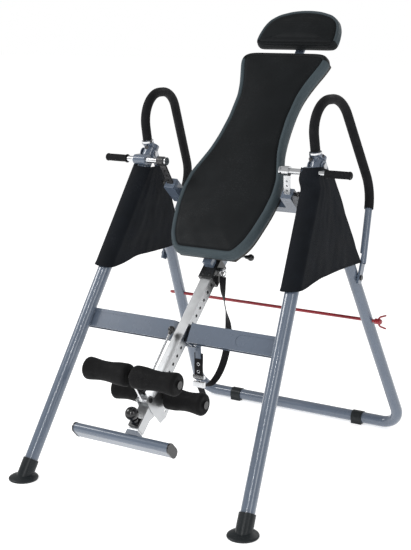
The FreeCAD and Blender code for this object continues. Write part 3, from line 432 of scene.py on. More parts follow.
def brushedLines(group="brushedLines"):
    # long fine scratches along one axis
    tree, source, out = newGroup(group, [("Vector", "NodeSocketVector", None),
                    ("Density", "NodeSocketFloat", 900.0)],
            [("Height", "NodeSocketFloat"), ("Variation", "NodeSocketFloat")])
    squeeze = tree.nodes.new("ShaderNodeVectorMath")
    squeeze.operation = "MULTIPLY"
    squeeze.inputs[1].default_value = (1, 0.02, 1)
    tree.links.new(source.outputs["Vector"], squeeze.inputs[0])
    noise = tree.nodes.new("ShaderNodeTexNoise")
    noise.inputs["Detail"].default_value = 3
    tree.links.new(squeeze.outputs[0], noise.inputs["Vector"])
    tree.links.new(source.outputs["Density"], noise.inputs["Scale"])
    tree.links.new(noise.outputs["Fac"], out.inputs["Height"])
    tree.links.new(noise.outputs["Fac"], out.inputs["Variation"])
    return tree


dustFilm = surfaceDust()
peel = orangePeel()
weave = clothWeave()
grain = leatherGrain()
brushed = brushedLines()


# materials
def startMaterial(name, metallic=0.0, coat=0.0, coatRoughness=0.05, specular=0.5, sheen=0.0):
    material = bpy.data.materials.new(name)
    material.use_nodes = True
    tree = material.node_tree
    shader = tree.nodes["Principled BSDF"]
    shader.inputs["Metallic"].default_value = metallic
    shader.inputs["Coat Weight"].default_value = coat
    shader.inputs["Coat Roughness"].default_value = coatRoughness
    shader.inputs["Specular IOR Level"].default_value = specular
    shader.inputs["Sheen Weight"].default_value = sheen
    place = tree.nodes.new("ShaderNodeTexCoord").outputs["Object"]
    return material, tree, shader, place


def useGroup(tree, group, vector, **values):
    node = tree.nodes.new("ShaderNodeGroup")
    node.node_tree = group
    tree.links.new(vector, node.inputs["Vector"])
    for key, value in values.items():
        node.inputs[key].default_value = value
    return node


def addBump(tree, shader, height, strength, distance):
    bump = tree.nodes.new("ShaderNodeBump")
    bump.inputs["Strength"].default_value = strength
    bump.inputs["Distance"].default_value = distance
    tree.links.new(height, bump.inputs["Height"])
    tree.links.new(bump.outputs["Normal"], shader.inputs["Normal"])


def turned(tree, vector, angle):
    node = tree.nodes.new("ShaderNodeMapping")
    node.inputs["Rotation"].default_value = (-angle, 0, 0)
    tree.links.new(vector, node.inputs["Vector"])
    return node.outputs[0]


def skinMaterial(name, colour, shade, roughness, spread, peelScale, bump, dust=0.25,
                 dustColour=(0.55, 0.56, 0.57), **shaderValues):
    # sprayed paint or moulded plastic: colour drift, orange peel and a little dust
    material, tree, shader, place = startMaterial(name, **shaderValues)
    skin = useGroup(tree, peel, place, Scale=peelScale)
    drift = rangeNode(tree, skin.outputs["Variation"], -1, 1, 0, 1)
    base = mixColours(tree, drift, colour, shade)
    film = useGroup(tree, dustFilm, place, Amount=dust)
    tree.links.new(mixColours(tree, film.outputs["Mask"], base, dustColour), shader.inputs["Base Color"])
    rough = rangeNode(tree, skin.outputs["Variation"], -1, 1, roughness - spread, roughness + spread)
    rough = mathNode(tree, "MULTIPLY_ADD", film.outputs["Mask"], 0.3, rough, clamp=True)
    tree.links.new(rough, shader.inputs["Roughness"])
    addBump(tree, shader, skin.outputs["Height"], bump, 0.0004)
    return material


def metalMaterial(name, colour, shade, roughness, spread, density, bump, angle=0.0, **shaderValues):
    # bright metal: fine drawn lines along the bar and slightly uneven polish
    material, tree, shader, place = startMaterial(name, metallic=1.0, **shaderValues)
    along = turned(tree, place, angle)
    lines = useGroup(tree, brushed, along, Density=density)
    base = mixColours(tree, lines.outputs["Variation"], colour, shade)
    tree.links.new(base, shader.inputs["Base Color"])
    smear = rangeNode(tree, noiseNode(tree, place, 30, 3), 0.35, 0.65, -spread, spread)
    rough = rangeNode(tree, lines.outputs["Variation"], 0.3, 0.7, roughness, roughness + spread)
    tree.links.new(mathNode(tree, "ADD", rough, smear, clamp=True), shader.inputs["Roughness"])
    addBump(tree, shader, lines.outputs["Height"], bump, 0.0002)
    return material


def foamMaterial(name, colour, shade, pores):
    # closed-cell foam: small pores, dull with a soft edge light
    material, tree, shader, place = startMaterial(name, specular=0.16, sheen=0.02)
    cells = useGroup(tree, grain, place, Scale=pores)
    film = useGroup(tree, dustFilm, place, Amount=0.08)
    base = mixColours(tree, cells.outputs["Crease"], shade, colour)
    tree.links.new(mixColours(tree, film.outputs["Mask"], base, (0.16, 0.16, 0.17)),
                   shader.inputs["Base Color"])
    rough = rangeNode(tree, noiseNode(tree, place, 40, 3), 0.3, 0.7, 0.62, 0.8)
    tree.links.new(rough, shader.inputs["Roughness"])
    addBump(tree, shader, cells.outputs["Height"], 0.35, 0.0006)
    return material


def vinylMaterial(name, panel, band, grainScale):
    # padded vinyl in two colours: the mask attribute is 1 on the band, 0 on the panel
    material, tree, shader, place = startMaterial(name, specular=0.12)
    cells = useGroup(tree, grain, place, Scale=grainScale)
    mask = tree.nodes.new("ShaderNodeAttribute")
    mask.attribute_name = "band"
    seam = tree.nodes.new("ShaderNodeAttribute")
    seam.attribute_name = "seam"
    edge = rangeNode(tree, mask.outputs["Fac"], 0.45, 0.55, 0, 1)
    drift = rangeNode(tree, noiseNode(tree, place, 12, 3), 0.35, 0.65, 0, 1)
    panelColour = mixColours(tree, drift, panel, tuple(c * 1.25 for c in panel))
    bandColour = mixColours(tree, drift, band, tuple(c * 0.88 for c in band))
    base = mixColours(tree, edge, panelColour, bandColour)
    crease = mathNode(tree, "MULTIPLY", cells.outputs["Crease"], 0.25)
    creased = mixColours(tree, crease, base, tuple(c * 0.4 for c in panel))
    stitched = mixColours(tree, mathNode(tree, "MULTIPLY", seam.outputs["Fac"], 0.6), creased,
            (0.004, 0.004, 0.005))
    film = useGroup(tree, dustFilm, place, Amount=0.05)
    tree.links.new(mixColours(tree, film.outputs["Mask"], stitched, (0.25, 0.26, 0.27)),
                   shader.inputs["Base Color"])
    rough = rangeNode(tree, noiseNode(tree, place, 26, 4), 0.3, 0.7, 0.46, 0.6)
    tree.links.new(rough, shader.inputs["Roughness"])
    addBump(tree, shader, cells.outputs["Height"], 0.22, 0.0005)
    return material


def wovenMaterial(name, colour, shade, pitch, roughness=0.72, bump=0.4, sheen=0.02):
    # woven nylon on the piece's own UV map, measured in metres of cloth
    material, tree, shader, place = startMaterial(name, specular=0.1, sheen=sheen)
    shader.inputs["Sheen Roughness"].default_value = 0.4
    uv = tree.nodes.new("ShaderNodeUVMap")
    uv.uv_map = "cloth"
    threads = useGroup(tree, weave, uv.outputs[0], Pitch=pitch)
    drift = rangeNode(tree, noiseNode(tree, place, 18, 4), 0.35, 0.65, 0, 1)
    base = mixColours(tree, drift, colour, shade)
    base = mixColours(tree, mathNode(tree, "MULTIPLY", threads.outputs["Gap"], 0.5), base,
            (0.002, 0.002, 0.003))
    film = useGroup(tree, dustFilm, place, Amount=0.06)
    tree.links.new(mixColours(tree, film.outputs["Mask"], base, (0.2, 0.2, 0.21)),
                   shader.inputs["Base Color"])
    tree.links.new(rangeNode(tree, drift, 0, 1, roughness - 0.05, roughness + 0.05),
                   shader.inputs["Roughness"])
    addBump(tree, shader, threads.outputs["Height"], bump, 0.0004)
    return material


framePaint = skinMaterial("framePaint", (0.105, 0.135, 0.185), (0.094, 0.121, 0.168), roughness=0.26,
        spread=0.04, peelScale=420, bump=0.015, dust=0.04, coat=0.8, coatRoughness=0.05)
blackPlastic = skinMaterial("mouldedPlastic", (0.007, 0.007, 0.008), (0.010, 0.010, 0.011), roughness=0.26,
        spread=0.04, peelScale=500, bump=0.012, dust=0.03, coat=0.3)
blackRubber = skinMaterial("rubberShoe", (0.006, 0.009, 0.011), (0.009, 0.012, 0.014), roughness=0.4,
        spread=0.06, peelScale=600, bump=0.04, dust=0.05, specular=0.3)
blackSteel = skinMaterial("blackSteel", (0.012, 0.012, 0.014), (0.02, 0.02, 0.022), roughness=0.35,
        spread=0.05, peelScale=420, bump=0.08, coat=0.3)
rodPaint = skinMaterial("redRodPaint", (0.3, 0.006, 0.016), (0.24, 0.005, 0.012), roughness=0.32,
        spread=0.06, peelScale=420, bump=0.04, dust=0.05, coat=0.4)
boardPaint = skinMaterial("boardBack", (0.02, 0.018, 0.016), (0.035, 0.03, 0.026), roughness=0.7,
        spread=0.08, peelScale=160, bump=0.3)
chrome = metalMaterial("brightChrome", (0.72, 0.73, 0.74), (0.64, 0.65, 0.67), roughness=0.16, spread=0.04,
        density=700, bump=0.02, angle=0.0)
shaftChrome = metalMaterial("drawnShaft", (0.6, 0.61, 0.62), (0.5, 0.51, 0.52), roughness=0.32, spread=0.04,
        density=900, bump=0.03, angle=shaftAngle)
axleSteel = metalMaterial("axleSteel", (0.62, 0.63, 0.65), (0.5, 0.51, 0.53), roughness=0.28, spread=0.1,
        density=900, bump=0.05)
foam = foamMaterial("gripFoam", (0.007, 0.0075, 0.009), (0.003, 0.003, 0.004), pores=900)
softFoam = foamMaterial("rollerFoam", (0.004, 0.004, 0.005), (0.002, 0.002, 0.002), pores=1100)
vinyl = vinylMaterial("padVinyl", (0.0062, 0.0074, 0.0084), (0.066, 0.088, 0.100), grainScale=850)
headVinyl = vinylMaterial("headrestVinyl", (0.0062, 0.0074, 0.0084), (0.055, 0.072, 0.082), grainScale=850)
nylon = wovenMaterial("coverNylon", (0.0045, 0.0060, 0.0085), (0.0070, 0.0090, 0.0125), pitch=2600)
webbing = wovenMaterial("strapWebbing", (0.008, 0.008, 0.009), (0.015, 0.015, 0.017), pitch=3600,
        roughness=0.6, bump=0.6)

slotMaterials = {
    "frame_paint": framePaint, "chrome": chrome, "axle_steel": axleSteel, "black_steel": blackSteel,
    "rod_paint": rodPaint, "vinyl": vinyl, "board": boardPaint, "foam": foam, "black_rubber": blackRubber,
    "black_plastic": blackPlastic, "nylon": nylon, "webbing": webbing,
}
shaftNodes = ("main_shaft", "footrest_stem", "heel_brackets")
blackNodes = ("front_roller_axle", "rear_roller_axle", "clamp_bolt")
for name, node in nodes.items():
    slotName = node.data.materials[0].name
    finish = shaftChrome if name in shaftNodes else slotMaterials[slotName]
    finish = blackPlastic if name in blackNodes else finish
    node.data.materials.clear()
    node.data.materials.append(finish)
print("materials placed on", len(nodes), "nodes")


# padded pieces
def softenedOutline(corners, count, softness):
    # closed line through corners, spaced evenly and rounded by a circular moving average
    closed = np.vstack([corners, corners[:1]])
    steps = np.linalg.norm(np.diff(closed, axis=0), axis=1)
    run = np.concatenate([[0], np.cumsum(steps)])
    places = np.linspace(0, run[-1], count, endpoint=False)
    line = np.stack([np.interp(places, run, closed[:, k]) for k in (0, 1)], axis=-1)
    spacing = run[-1] / count
    reach = np.arange(count)
    reach = np.minimum(reach, count - reach) * spacing
    weights = np.exp(-0.5 * (reach / softness) ** 2)
    weights /= weights.sum()
    spectrum = np.fft.fft(weights)[:, None]
    return np.real(np.fft.ifft(np.fft.fft(line, axis=0) * spectrum, axis=0))


def paddedSlab(name, look, outline, material):
    # a profile of (inset, height) carried round an outline: inside the last inset the rays run to a spine
    count = len(outline)
    ahead, behind = np.roll(outline, -1, axis=0), np.roll(outline, 1, axis=0)
    tangent = ahead - behind
    tangent /= np.linalg.norm(tangent, axis=1)[:, None]
    inward = np.stack([-tangent[:, 1], tangent[:, 0]], axis=-1)
    low, high = outline[:, 1].min(), outline[:, 1].max()
    spineLow, spineHigh = low + look["spineMargin"], high - look["spineMargin"]
    share = (outline[:, 1] - low) / (high - low)
    # the spine's points are rounded to one step, so that the rays of both sides meet in the same points
    along = spineLow + (spineHigh - spineLow) * smoothStep(0.0, 1.0, share)
    spine = np.stack([np.zeros(count), np.round(along / look["spineStep"]) * look["spineStep"]], axis=-1)
    top, thickness, seam, shoulder = look["face"], look["thickness"], look["seamInset"], look["shoulder"]
    deepInset = seam + 0.02
    turn = np.linspace(0, math.pi / 2, 9)
    # columns of the profile: kind 0 is a ray share, kind 1 an inset
    rays = np.linspace(0, 1, 12)[:-1]
    crown = look["crown"] * (1 - rays ** 2)
    insets = np.array([deepInset, seam + 0.011, seam + 0.006, seam + 0.003, seam + 0.0012, seam,
            seam - 0.0012, seam - 0.003, seam - 0.006])
    heights = np.array([0, -0.0004, -0.0012, -0.0024, -0.0042, -0.0052, -0.0042, -0.0024, -0.0014])
    roundInset = (seam - 0.0075) * (1 - np.sin(turn))
    roundHeight = -0.001 - shoulder * (1 - np.cos(turn))
    sideHeight = np.linspace(-0.001 - shoulder, -thickness + 0.008, 7)[1:]
    sideInset = -look["bulge"] * np.sin(np.linspace(0, math.pi, 7))[1:]
    backTurn = np.linspace(0, math.pi / 2, 6)[1:]
    backInset = 0.008 * (1 - np.cos(backTurn))
    backHeight = -thickness + 0.008 * (1 - np.sin(backTurn))
    insetRun = np.concatenate([insets, roundInset, sideInset, backInset])
    heightRun = np.concatenate([heights, roundHeight, sideHeight, backHeight])
    ring = outline[:, None, :] + inward[:, None, :] * insetRun[None, :, None]
    deep = outline + inward * deepInset
    rayPoints = spine[:, None, :] + (deep - spine)[:, None, :] * rays[None, :, None]
    backDeep = ring[:, -1, :]
    backPoints = spine[:, None, :] + (backDeep - spine)[:, None, :] * rays[::-1][None, :, None]
    flat = np.concatenate([rayPoints, ring, backPoints], axis=1)
    level = np.concatenate([crown, heightRun, np.full(len(rays), -thickness)])
    level = np.broadcast_to(level, flat.shape[:2]).copy()
    # the face dips a little along the middle and rises towards the ends, as a used pad does
    inner = np.zeros_like(level)
    inner[:, :len(rays)] = 1 - rays ** 2
    level += inner * look["wave"] * np.cos((flat[..., 1] - low) / (high - low) * 2 * math.pi * 1.5)
    points = np.concatenate([flat, (top + level)[..., None]], axis=-1)
    band = np.zeros(flat.shape[1])
    seamColumn = len(rays) + 5
    band[seamColumn:] = 1.0
    band[seamColumn] = 0.5
    bandMask = np.broadcast_to(band, level.shape).copy()
    if look["openEnd"]:
        # the panel runs out over the head end: no band there
        way = 1 if look["openEnd"] > 0 else -1
        endShare = smoothStep(look["bandStop"], look["bandStop"] + 0.03, way * outline[:, 1])
        bandMask *= 1 - endShare[:, None]
    seamMask = np.broadcast_to(np.exp(-((np.arange(flat.shape[1]) - seamColumn) / 1.1) ** 2),
            level.shape).copy()
    piece = meshFromGrid(name, leanPlace(points, bedAngle), wrapRows=True,
            masks={"band": bandMask, "seam": seamMask})
    piece.data.materials.append(material)
    return cleanMesh(piece, 2e-4)


def inflate(piece, look):
    # a short cloth run with pressure: the seam and back are pinned, and no point moves further than the cap
    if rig.quick():
        return piece
    start = np.empty(len(piece.data.vertices) * 3)
    piece.data.vertices.foreach_get("co", start)
    start = start.reshape(-1, 3)
    seam = np.empty(len(start))
    piece.data.attributes["seam"].data.foreach_get("value", seam)
    above = -(start[:, 1] - axleY) * math.sin(bedAngle) + (start[:, 2] - axleZ) * math.cos(bedAngle)
    held = (above < look["face"] - look["thickness"] + 0.012) | (seam > 0.6)
    group = piece.vertex_groups.new(name="held")
    group.add(np.flatnonzero(held).tolist(), 1.0, "REPLACE")
    cloth = piece.modifiers.new("cloth", "CLOTH")
    cloth.settings.use_pressure = True
    cloth.settings.uniform_pressure_force = look["pressure"]
    cloth.settings.effector_weights.gravity = 0
    cloth.settings.vertex_group_mass = "held"
    cloth.settings.tension_stiffness = 30
    cloth.settings.quality = 4
    cloth.collision_settings.use_collision = False
    for number in range(1, 21):
        bpy.context.scene.frame_set(number)
    depsgraph = bpy.context.evaluated_depsgraph_get()
    finished = piece.evaluated_get(depsgraph).to_mesh()
    end = np.empty(len(start) * 3)
    finished.vertices.foreach_get("co", end)
    piece.modifiers.clear()
    bpy.context.scene.frame_set(1)
    move = end.reshape(-1, 3) - start
    size = np.linalg.norm(move, axis=1)[:, None]
    move = np.nan_to_num(move * np.minimum(1, look["cap"] / np.maximum(size, 1e-9)))
    # each pass puts a free point's move at the mean of its neighbours': creases go and the fullness stays
    ends = np.empty(len(piece.data.edges) * 2, dtype=np.int64)
    piece.data.edges.foreach_get("vertices", ends)
    one, two = ends.reshape(-1, 2).T
    neighbours = np.bincount(one, minlength=len(start)) + np.bincount(two, minlength=len(start))
    for step in range(look["smoothing"]):
        total = np.zeros_like(move)
        np.add.at(total, one, move[two])
        np.add.at(total, two, move[one])
        move = np.where(held[:, None], move, total / np.maximum(neighbours, 1)[:, None])
    piece.data.vertices.foreach_set("co", (start + move).reshape(-1))
    piece.data.update()
    print(piece.name, "inflated, largest move", round(float(np.linalg.norm(move, axis=1).max()) * 1000, 1),
          "mm")
    return piece


def subdivide(piece, levels=1):
    modifier = piece.modifiers.new("finish", "SUBSURF")
    modifier.levels = levels
    modifier.render_levels = levels
    return applyModifiers(piece)


backrest = {
    "face": -0.0835, "thickness": 0.0425, "seamInset": 0.0190, "shoulder": 0.016, "crown": 0.0035,
    "bulge": 0.0015, "wave": 0.0006, "spineMargin": 0.12, "spineStep": 0.012, "openEnd": 1, "bandStop": 0.515,
    "pressure": 4.0, "cap": 0.005, "smoothing": 60, "softness": 0.0105,
    "sides": [(0.106, -0.2935), (0.126, -0.28), (0.138, -0.262), (0.155, -0.232), (0.170, -0.180),
              (0.184, -0.110),
              (0.190, -0.040), (0.183, 0.025), (0.163, 0.080), (0.146, 0.130), (0.135, 0.185), (0.127, 0.270),
              (0.130, 0.368), (0.142, 0.420), (0.159, 0.470), (0.1725, 0.508), (0.1775, 0.530),
              (0.1720, 0.549), (0.1540, 0.5605), (0.1250, 0.5640)],
}


def bothSides(sides):
    # right side going up, then the left side coming down
    right = np.array(sides)
    left = right[::-1] * np.array([-1, 1])
    return np.vstack([right, left])


backrestOutline = softenedOutline(bothSides(backrest["sides"]), 260, backrest["softness"])
backrestPad = paddedSlab("backrestPad", backrest, backrestOutline, vinyl)
backrestPad = subdivide(inflate(backrestPad, backrest))
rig.replaces(backrestPad, "backrest_pad")
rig.slot(backrestPad, "vinyl")
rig.padded(backrestPad, fill=0.8)
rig.ride(backrestPad, "bed")
print("backrest pad made:", len(backrestPad.data.polygons), "faces")

headrest = {
    "face": -0.1075, "thickness": 0.038, "seamInset": 0.0125, "shoulder": 0.012, "crown": 0.005,
    "bulge": 0.0015, "wave": 0.0, "spineMargin": 0.06, "spineStep": 0.008, "openEnd": -1, "bandStop": -0.652,
    "pressure": 4.0, "cap": 0.006, "smoothing": 40, "softness": 0.010,
    "sides": [(0.146, 0.6175), (0.160, 0.622), (0.1645, 0.638), (0.163, 0.668), (0.156, 0.705),
              (0.142, 0.735),
              (0.110, 0.760), (0.060, 0.776), (0.02, 0.781)],
}
headrestOutline = softenedOutline(bothSides(headrest["sides"]), 180, headrest["softness"])
headrestPad = paddedSlab("headrestPad", headrest, headrestOutline, headVinyl)
headrestPad = subdivide(inflate(headrestPad, headrest))
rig.replaces(headrestPad, "headrest_pad")
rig.slot(headrestPad, "vinyl")
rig.padded(headrestPad, fill=0.8)
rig.ride(headrestPad, "headrest")
print("headrest pad made")


# foam rollers
roller = {
    "bore": 0.00825, "ends": 0.010, "around": 72,
    "shares": [0.0, 0.10, 0.26, 0.42, 0.56, 0.70, 0.86, 0.95, 1.0],
    "radii": [0.0366, 0.0372, 0.0364, 0.0328, 0.0315, 0.0325, 0.0360, 0.0372, 0.0368],
}


def revolved(name, xs, radii, centre, around, ripple=0.0):
    # profile of (x, radius) turned about an axis along X; ripple lets the foam sit a little unevenly
    turn = np.linspace(0, 2 * math.pi, around, endpoint=False)
    slow = np.sin(3 * turn[None, :] + 40 * xs[:, None])
    quick = np.sin(2 * turn[None, :] + 1.3)
    radius = radii[:, None] * (1 + ripple * slow * quick)
    y = centre[0] + radius * np.cos(turn)[None, :]
    z = centre[1] + radius * np.sin(turn)[None, :]
    grid = np.stack([np.broadcast_to(xs[:, None], y.shape), y, z], axis=-1)
    return meshFromGrid(name, grid, wrapRows=True, wrapColumns=True)


def makeRoller(nodeName):
    low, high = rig.box(nodeName)
    centre = ((low.y + high.y) / 2, (low.z + high.z) / 2)
    side = 1 if low.x + high.x > 0 else -1
    inner, outer = min(abs(low.x), abs(high.x)) + 0.0005, max(abs(low.x), abs(high.x)) - 0.0005
    shares = np.linspace(0, 1, 60)
    radii = np.interp(shares, roller["shares"], roller["radii"])
    kernel = np.ones(7) / 7
    radii = np.convolve(np.pad(radii, 3, mode="edge"), kernel, mode="valid")
    length, end = outer - inner, roller["ends"]
    xs = inner + shares * length
    # both ends round over in a quarter circle and close on the bore
    turn = np.linspace(0, math.pi / 2, 10)
    cornerX = end * (1 - np.sin(turn))
    cornerR = end * (1 - np.cos(turn))
    middle = (shares * length > end) & ((1 - shares) * length > end)
    startX = inner + cornerX[::-1]
    startR = radii[0] - cornerR[::-1]
    endX = outer - cornerX
    endR = radii[-1] - cornerR
    xRun = np.concatenate([[inner + 0.004, inner + 0.0008, inner], startX, xs[middle], endX,
            [outer, outer - 0.0008, outer - 0.004]])
    rRun = np.concatenate([[roller["bore"], roller["bore"] + 0.0004, roller["bore"] + 0.002], startR,
            radii[middle], endR,
            [roller["bore"] + 0.002, roller["bore"] + 0.0004, roller["bore"]]])
    pieceName = nodeName.replace("_left", "FoamLeft").replace("_right", "FoamRight").replace("_roller",
            "Roller")
    piece = revolved(pieceName, xRun * side, rRun, centre, roller["around"], ripple=0.006)
    piece.data.materials.append(softFoam)
    cleanMesh(piece)
    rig.replaces(piece, nodeName)
    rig.slot(piece, "foam")
    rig.padded(piece, fill=0.9)
    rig.ride(piece, nodeName)
    return piece


for rollerName in ("front_roller_left", "front_roller_right", "rear_roller_left", "rear_roller_right"):
    makeRoller(rollerName)
print("foam rollers made")


# foam sleeves on the handlebars and grips
sleeve = {"voxel": 0.0022, "rounds": 8}


def softenedCopy(nodeName, pieceName, material, body, voxel, rounds):
    # the node's mesh merged, rebuilt in small voxels and relaxed, so that cut foam ends go round
    mesh = nodes[nodeName].data.copy()
    piece = bpy.data.objects.new(pieceName, mesh)
    bpy.context.scene.collection.objects.link(piece)
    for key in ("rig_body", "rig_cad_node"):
        if key in piece:
            del piece[key]
    cleanMesh(piece, 1e-6)
    remesh = piece.modifiers.new("voxels", "REMESH")
    remesh.mode = "VOXEL"
    remesh.voxel_size = voxel
    relax = piece.modifiers.new("relax", "SMOOTH")
    relax.factor = 0.5
    relax.iterations = rounds
    applyModifiers(piece)
    piece.data.materials.clear()
    piece.data.materials.append(material)
    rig.replaces(piece, nodeName)
    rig.slot(piece, "foam")
    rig.padded(piece, fill=1.0)
    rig.ride(piece, body)
    print(pieceName, "made:", len(piece.data.polygons), "faces")
    return piece


softenedCopy("foam_grips", "handlebarFoam", foam, "front_frame", sleeve["voxel"], sleeve["rounds"])


grip = {
    "inner": 0.3925, "bore": 0.0101, "radius": 0.0125, "rib": 0.00025, "ribs": 44, "dome": 0.008,
    "lip": 0.0012,
    "flangeX": [0.006, 0.0002, 0, 0.0006, 0.0035, 0.0045, 0.0052],
    "flangeR": [0.0148, 0.0150, 0.0142, 0.0127],
}


def makeGrip(side):
    # foam sleeve on the axle bar: round flange, ribbed barrel and a domed end
    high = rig.box("side_grips")[1]
    inner, outer = grip["inner"], high.x - 0.0005
    xs = np.linspace(0, 1, 90)
    x = inner + grip["dome"] + xs * (outer - inner - 2 * grip["dome"])
    radius = grip["radius"] + grip["rib"] * np.sin(xs * grip["ribs"] * 2 * math.pi)
    bore = grip["bore"]
    turn = np.linspace(0, math.pi / 2, 9)
    domeX = outer - grip["dome"] + grip["dome"] * np.sin(turn)
    domeR = (radius[-1] + grip["lip"]) * np.cos(turn) ** 0.6
    xRun = np.concatenate([[inner + step for step in grip["flangeX"]], x, [outer - 0.0085], domeX])
    rRun = np.concatenate([[bore, bore, bore + 0.0008] + grip["flangeR"], radius, [radius[-1] + grip["lip"]],
            np.maximum(domeR, 1e-5)])
    turnRound = np.linspace(0, 2 * math.pi, 48, endpoint=False)
    y = axleY + rRun[:, None] * np.cos(turnRound)[None, :]
    z = axleZ + rRun[:, None] * np.sin(turnRound)[None, :]
    grid = np.stack([np.broadcast_to(side * xRun[:, None], y.shape), y, z], axis=-1)
    piece = meshFromGrid("gripPart", grid, wrapColumns=True)
    piece.data.materials.append(foam)
    return cleanMesh(piece)


gripFoam = joinPieces("axleGripFoam", [makeGrip(1), makeGrip(-1)])
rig.replaces(gripFoam, "side_grips")
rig.slot(gripFoam, "foam")
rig.padded(gripFoam, fill=1.0)
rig.ride(gripFoam, "front_frame")
print("grips made")


# nylon covers
cover = {
    "apex": (0.335, 0.04388, 1.041), "splay": math.atan(94 / 1041), "legSlope": 615 / 1041,
    "rearSlope": 0.5010, "bracketBulge": 0.030,
    "half": 0.0358, "front": 0.0335, "tail": 0.0235, "thick": 0.0012,
    "folds": 0.0035, "rows": 90, "columns": 220,
}


def coverGrid(side, look, topFront, topRear, seed):
    # a sheet wrapped round the front leg: across s from the inner rear edge round the front to the outer
    # rear edge
    s = np.linspace(0, 1, look["columns"])
    t = np.linspace(0, 1, look["rows"])
    s, t = np.meshgrid(s, t)
    panel = 0.42
    around = np.clip((s - panel) / (1 - 2 * panel), 0, 1)
    angle = math.pi * around
    reach = np.where(s < panel, 1 - s / panel, np.where(s > 1 - panel, (s - (1 - panel)) / panel, 0.0))
    # lower edge: lowest at the front, rising to the rear; upper edge nearly level
    backShare = smoothStep(0.0, 0.34, reach)
    bottom = -0.371 + 0.019 * backShare
    top = topFront + (topRear - topFront) * reach
    z = top + (bottom - top) * t
    frontLine = -look["front"] + look["legSlope"] * z
    rearLine = -look["rearSlope"] * z + look["tail"]
    radius = look["half"]
    # the front is a soft round nose, the panels run back to the rear edge
    nose = 0.026
    bump = look["bracketBulge"] * smoothStep(-0.075, -0.03, z) if topFront > -0.02 else 0.0
    yPanel = (frontLine + nose - bump) + (rearLine - frontLine - nose + bump) * reach
    yNose = (frontLine + nose - bump) - nose * np.sin(angle)
    y = np.where((s < panel) | (s > 1 - panel), yPanel, yNose)
    xNose = -radius * np.cos(angle)
    x = np.where(s < panel, -radius, np.where(s > 1 - panel, radius, xNose))
    # hanging folds: fans of soft ridges from the top, deeper to the rear and low down
    rng = np.random.default_rng(seed)
    phases = rng.uniform(0, 2 * math.pi, 5)
    fold = np.zeros_like(x)
    for k, (across, down, share) in enumerate(((2.3, 0.6, 1.0), (4.1, -1.1, 0.6), (6.7, 1.7, 0.35),
                                               (9.0, -2.2, 0.22), (3.1, 3.4, 0.4))):
        turns = across * reach + down * t * (0.4 + reach)
        fold += share * np.sin(2 * math.pi * turns + phases[k] + np.sign(s - 0.5) * 0.7 * k)
    fold = (fold - fold.min()) / (fold.max() - fold.min())
    strength = look["folds"] * smoothStep(0.02, 0.22, reach) * (0.35 + 0.65 * t)
    crease = 0.0016 * np.sin(2 * math.pi * (1.3 * t + 0.4)) * smoothStep(0.1, 0.25, t)
    outward = np.sign(x) * (fold * strength + np.abs(crease) * smoothStep(0.05, 0.2, reach))
    # the outer panel is drawn in a little between the legs, the hem is slack
    x = x + outward
    hem = 0.0016 * np.exp(-((1 - t) / 0.018) ** 2)
    x = x + np.sign(x) * hem
    z = z + 0.0012 * np.sin(2 * math.pi * (1.7 * reach) + phases[0]) * t * smoothStep(0.05, 0.2, reach)
    turn = -look["splay"]
    xTurned = x * math.cos(turn) + z * math.sin(turn)
    zTurned = -x * math.sin(turn) + z * math.cos(turn)
    grid = np.stack([look["apex"][0] + xTurned, look["apex"][1] + y, look["apex"][2] + zTurned], axis=-1)
    grid[..., 0] *= side
    return grid


def clothCoordinates(piece, grid):
    # UV in metres of cloth: distance across and down the sheet
    across = np.concatenate([np.zeros((grid.shape[0], 1)),
            np.cumsum(np.linalg.norm(np.diff(grid, axis=1), axis=-1), axis=1)], axis=1)
    down = np.concatenate([np.zeros((1, grid.shape[1])), np.cumsum(np.linalg.norm(np.diff(grid, axis=0),
            axis=-1), axis=0)], axis=0)
    flat = np.stack([across, down], axis=-1).reshape(-1, 2)
    layer = piece.data.uv_layers.new(name="cloth")
    corner = np.empty(len(piece.data.loops), np.int32)
    piece.data.loops.foreach_get("vertex_index", corner)
    layer.data.foreach_set("uv", flat[corner].astype(np.float32).reshape(-1))
    return float(across.max()), float(down.max())


def gridArea(grid):
    a = grid[1:, :-1] - grid[:-1, :-1]
    b = grid[:-1, 1:] - grid[:-1, :-1]
    c = grid[:-1, 1:] - grid[1:, 1:]
    d = grid[1:, :-1] - grid[1:, 1:]
    return 0.5 * float(np.linalg.norm(np.cross(a, b), axis=-1).sum() + np.linalg.norm(np.cross(c, d),
                                                                                      axis=-1).sum())


def makeCover(side, nodeName, pieceName, topFront, topRear, seed, flat, area):
    grid = coverGrid(side, cover, topFront, topRear, seed)
    piece = meshFromGrid(pieceName, grid, flip=side < 0)
    width, length = clothCoordinates(piece, grid)
    print(pieceName, "cloth across", round(width, 3), "down", round(length, 3), "area",
          round(gridArea(grid), 4))
    solid = piece.modifiers.new("thickness", "SOLIDIFY")
    solid.thickness = cover["thick"]
    solid.offset = -1
    applyModifiers(piece)
    piece.data.materials.append(nylon)
    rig.replaces(piece, nodeName)
    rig.slot(piece, "nylon")
    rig.sheet(piece, flat=flat, held="hung", rests_on=[nodeName.replace("side_cover", "front_leg")], area=area)
    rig.blend(piece, "front_frame", "rear_frame", start=(0, -0.12, 0.85), end=(0, 0.17, 0.85))
    return piece


makeCover(1, "side_cover_right", "nylonCoverRight", topFront=0.000, topRear=-0.022, seed=11,
          flat=(1.02, 0.44), area=0.235)
makeCover(-1, "side_cover_left", "nylonCoverLeft", topFront=-0.040, topRear=-0.040, seed=23,
          flat=(1.00, 0.40), area=0.225)


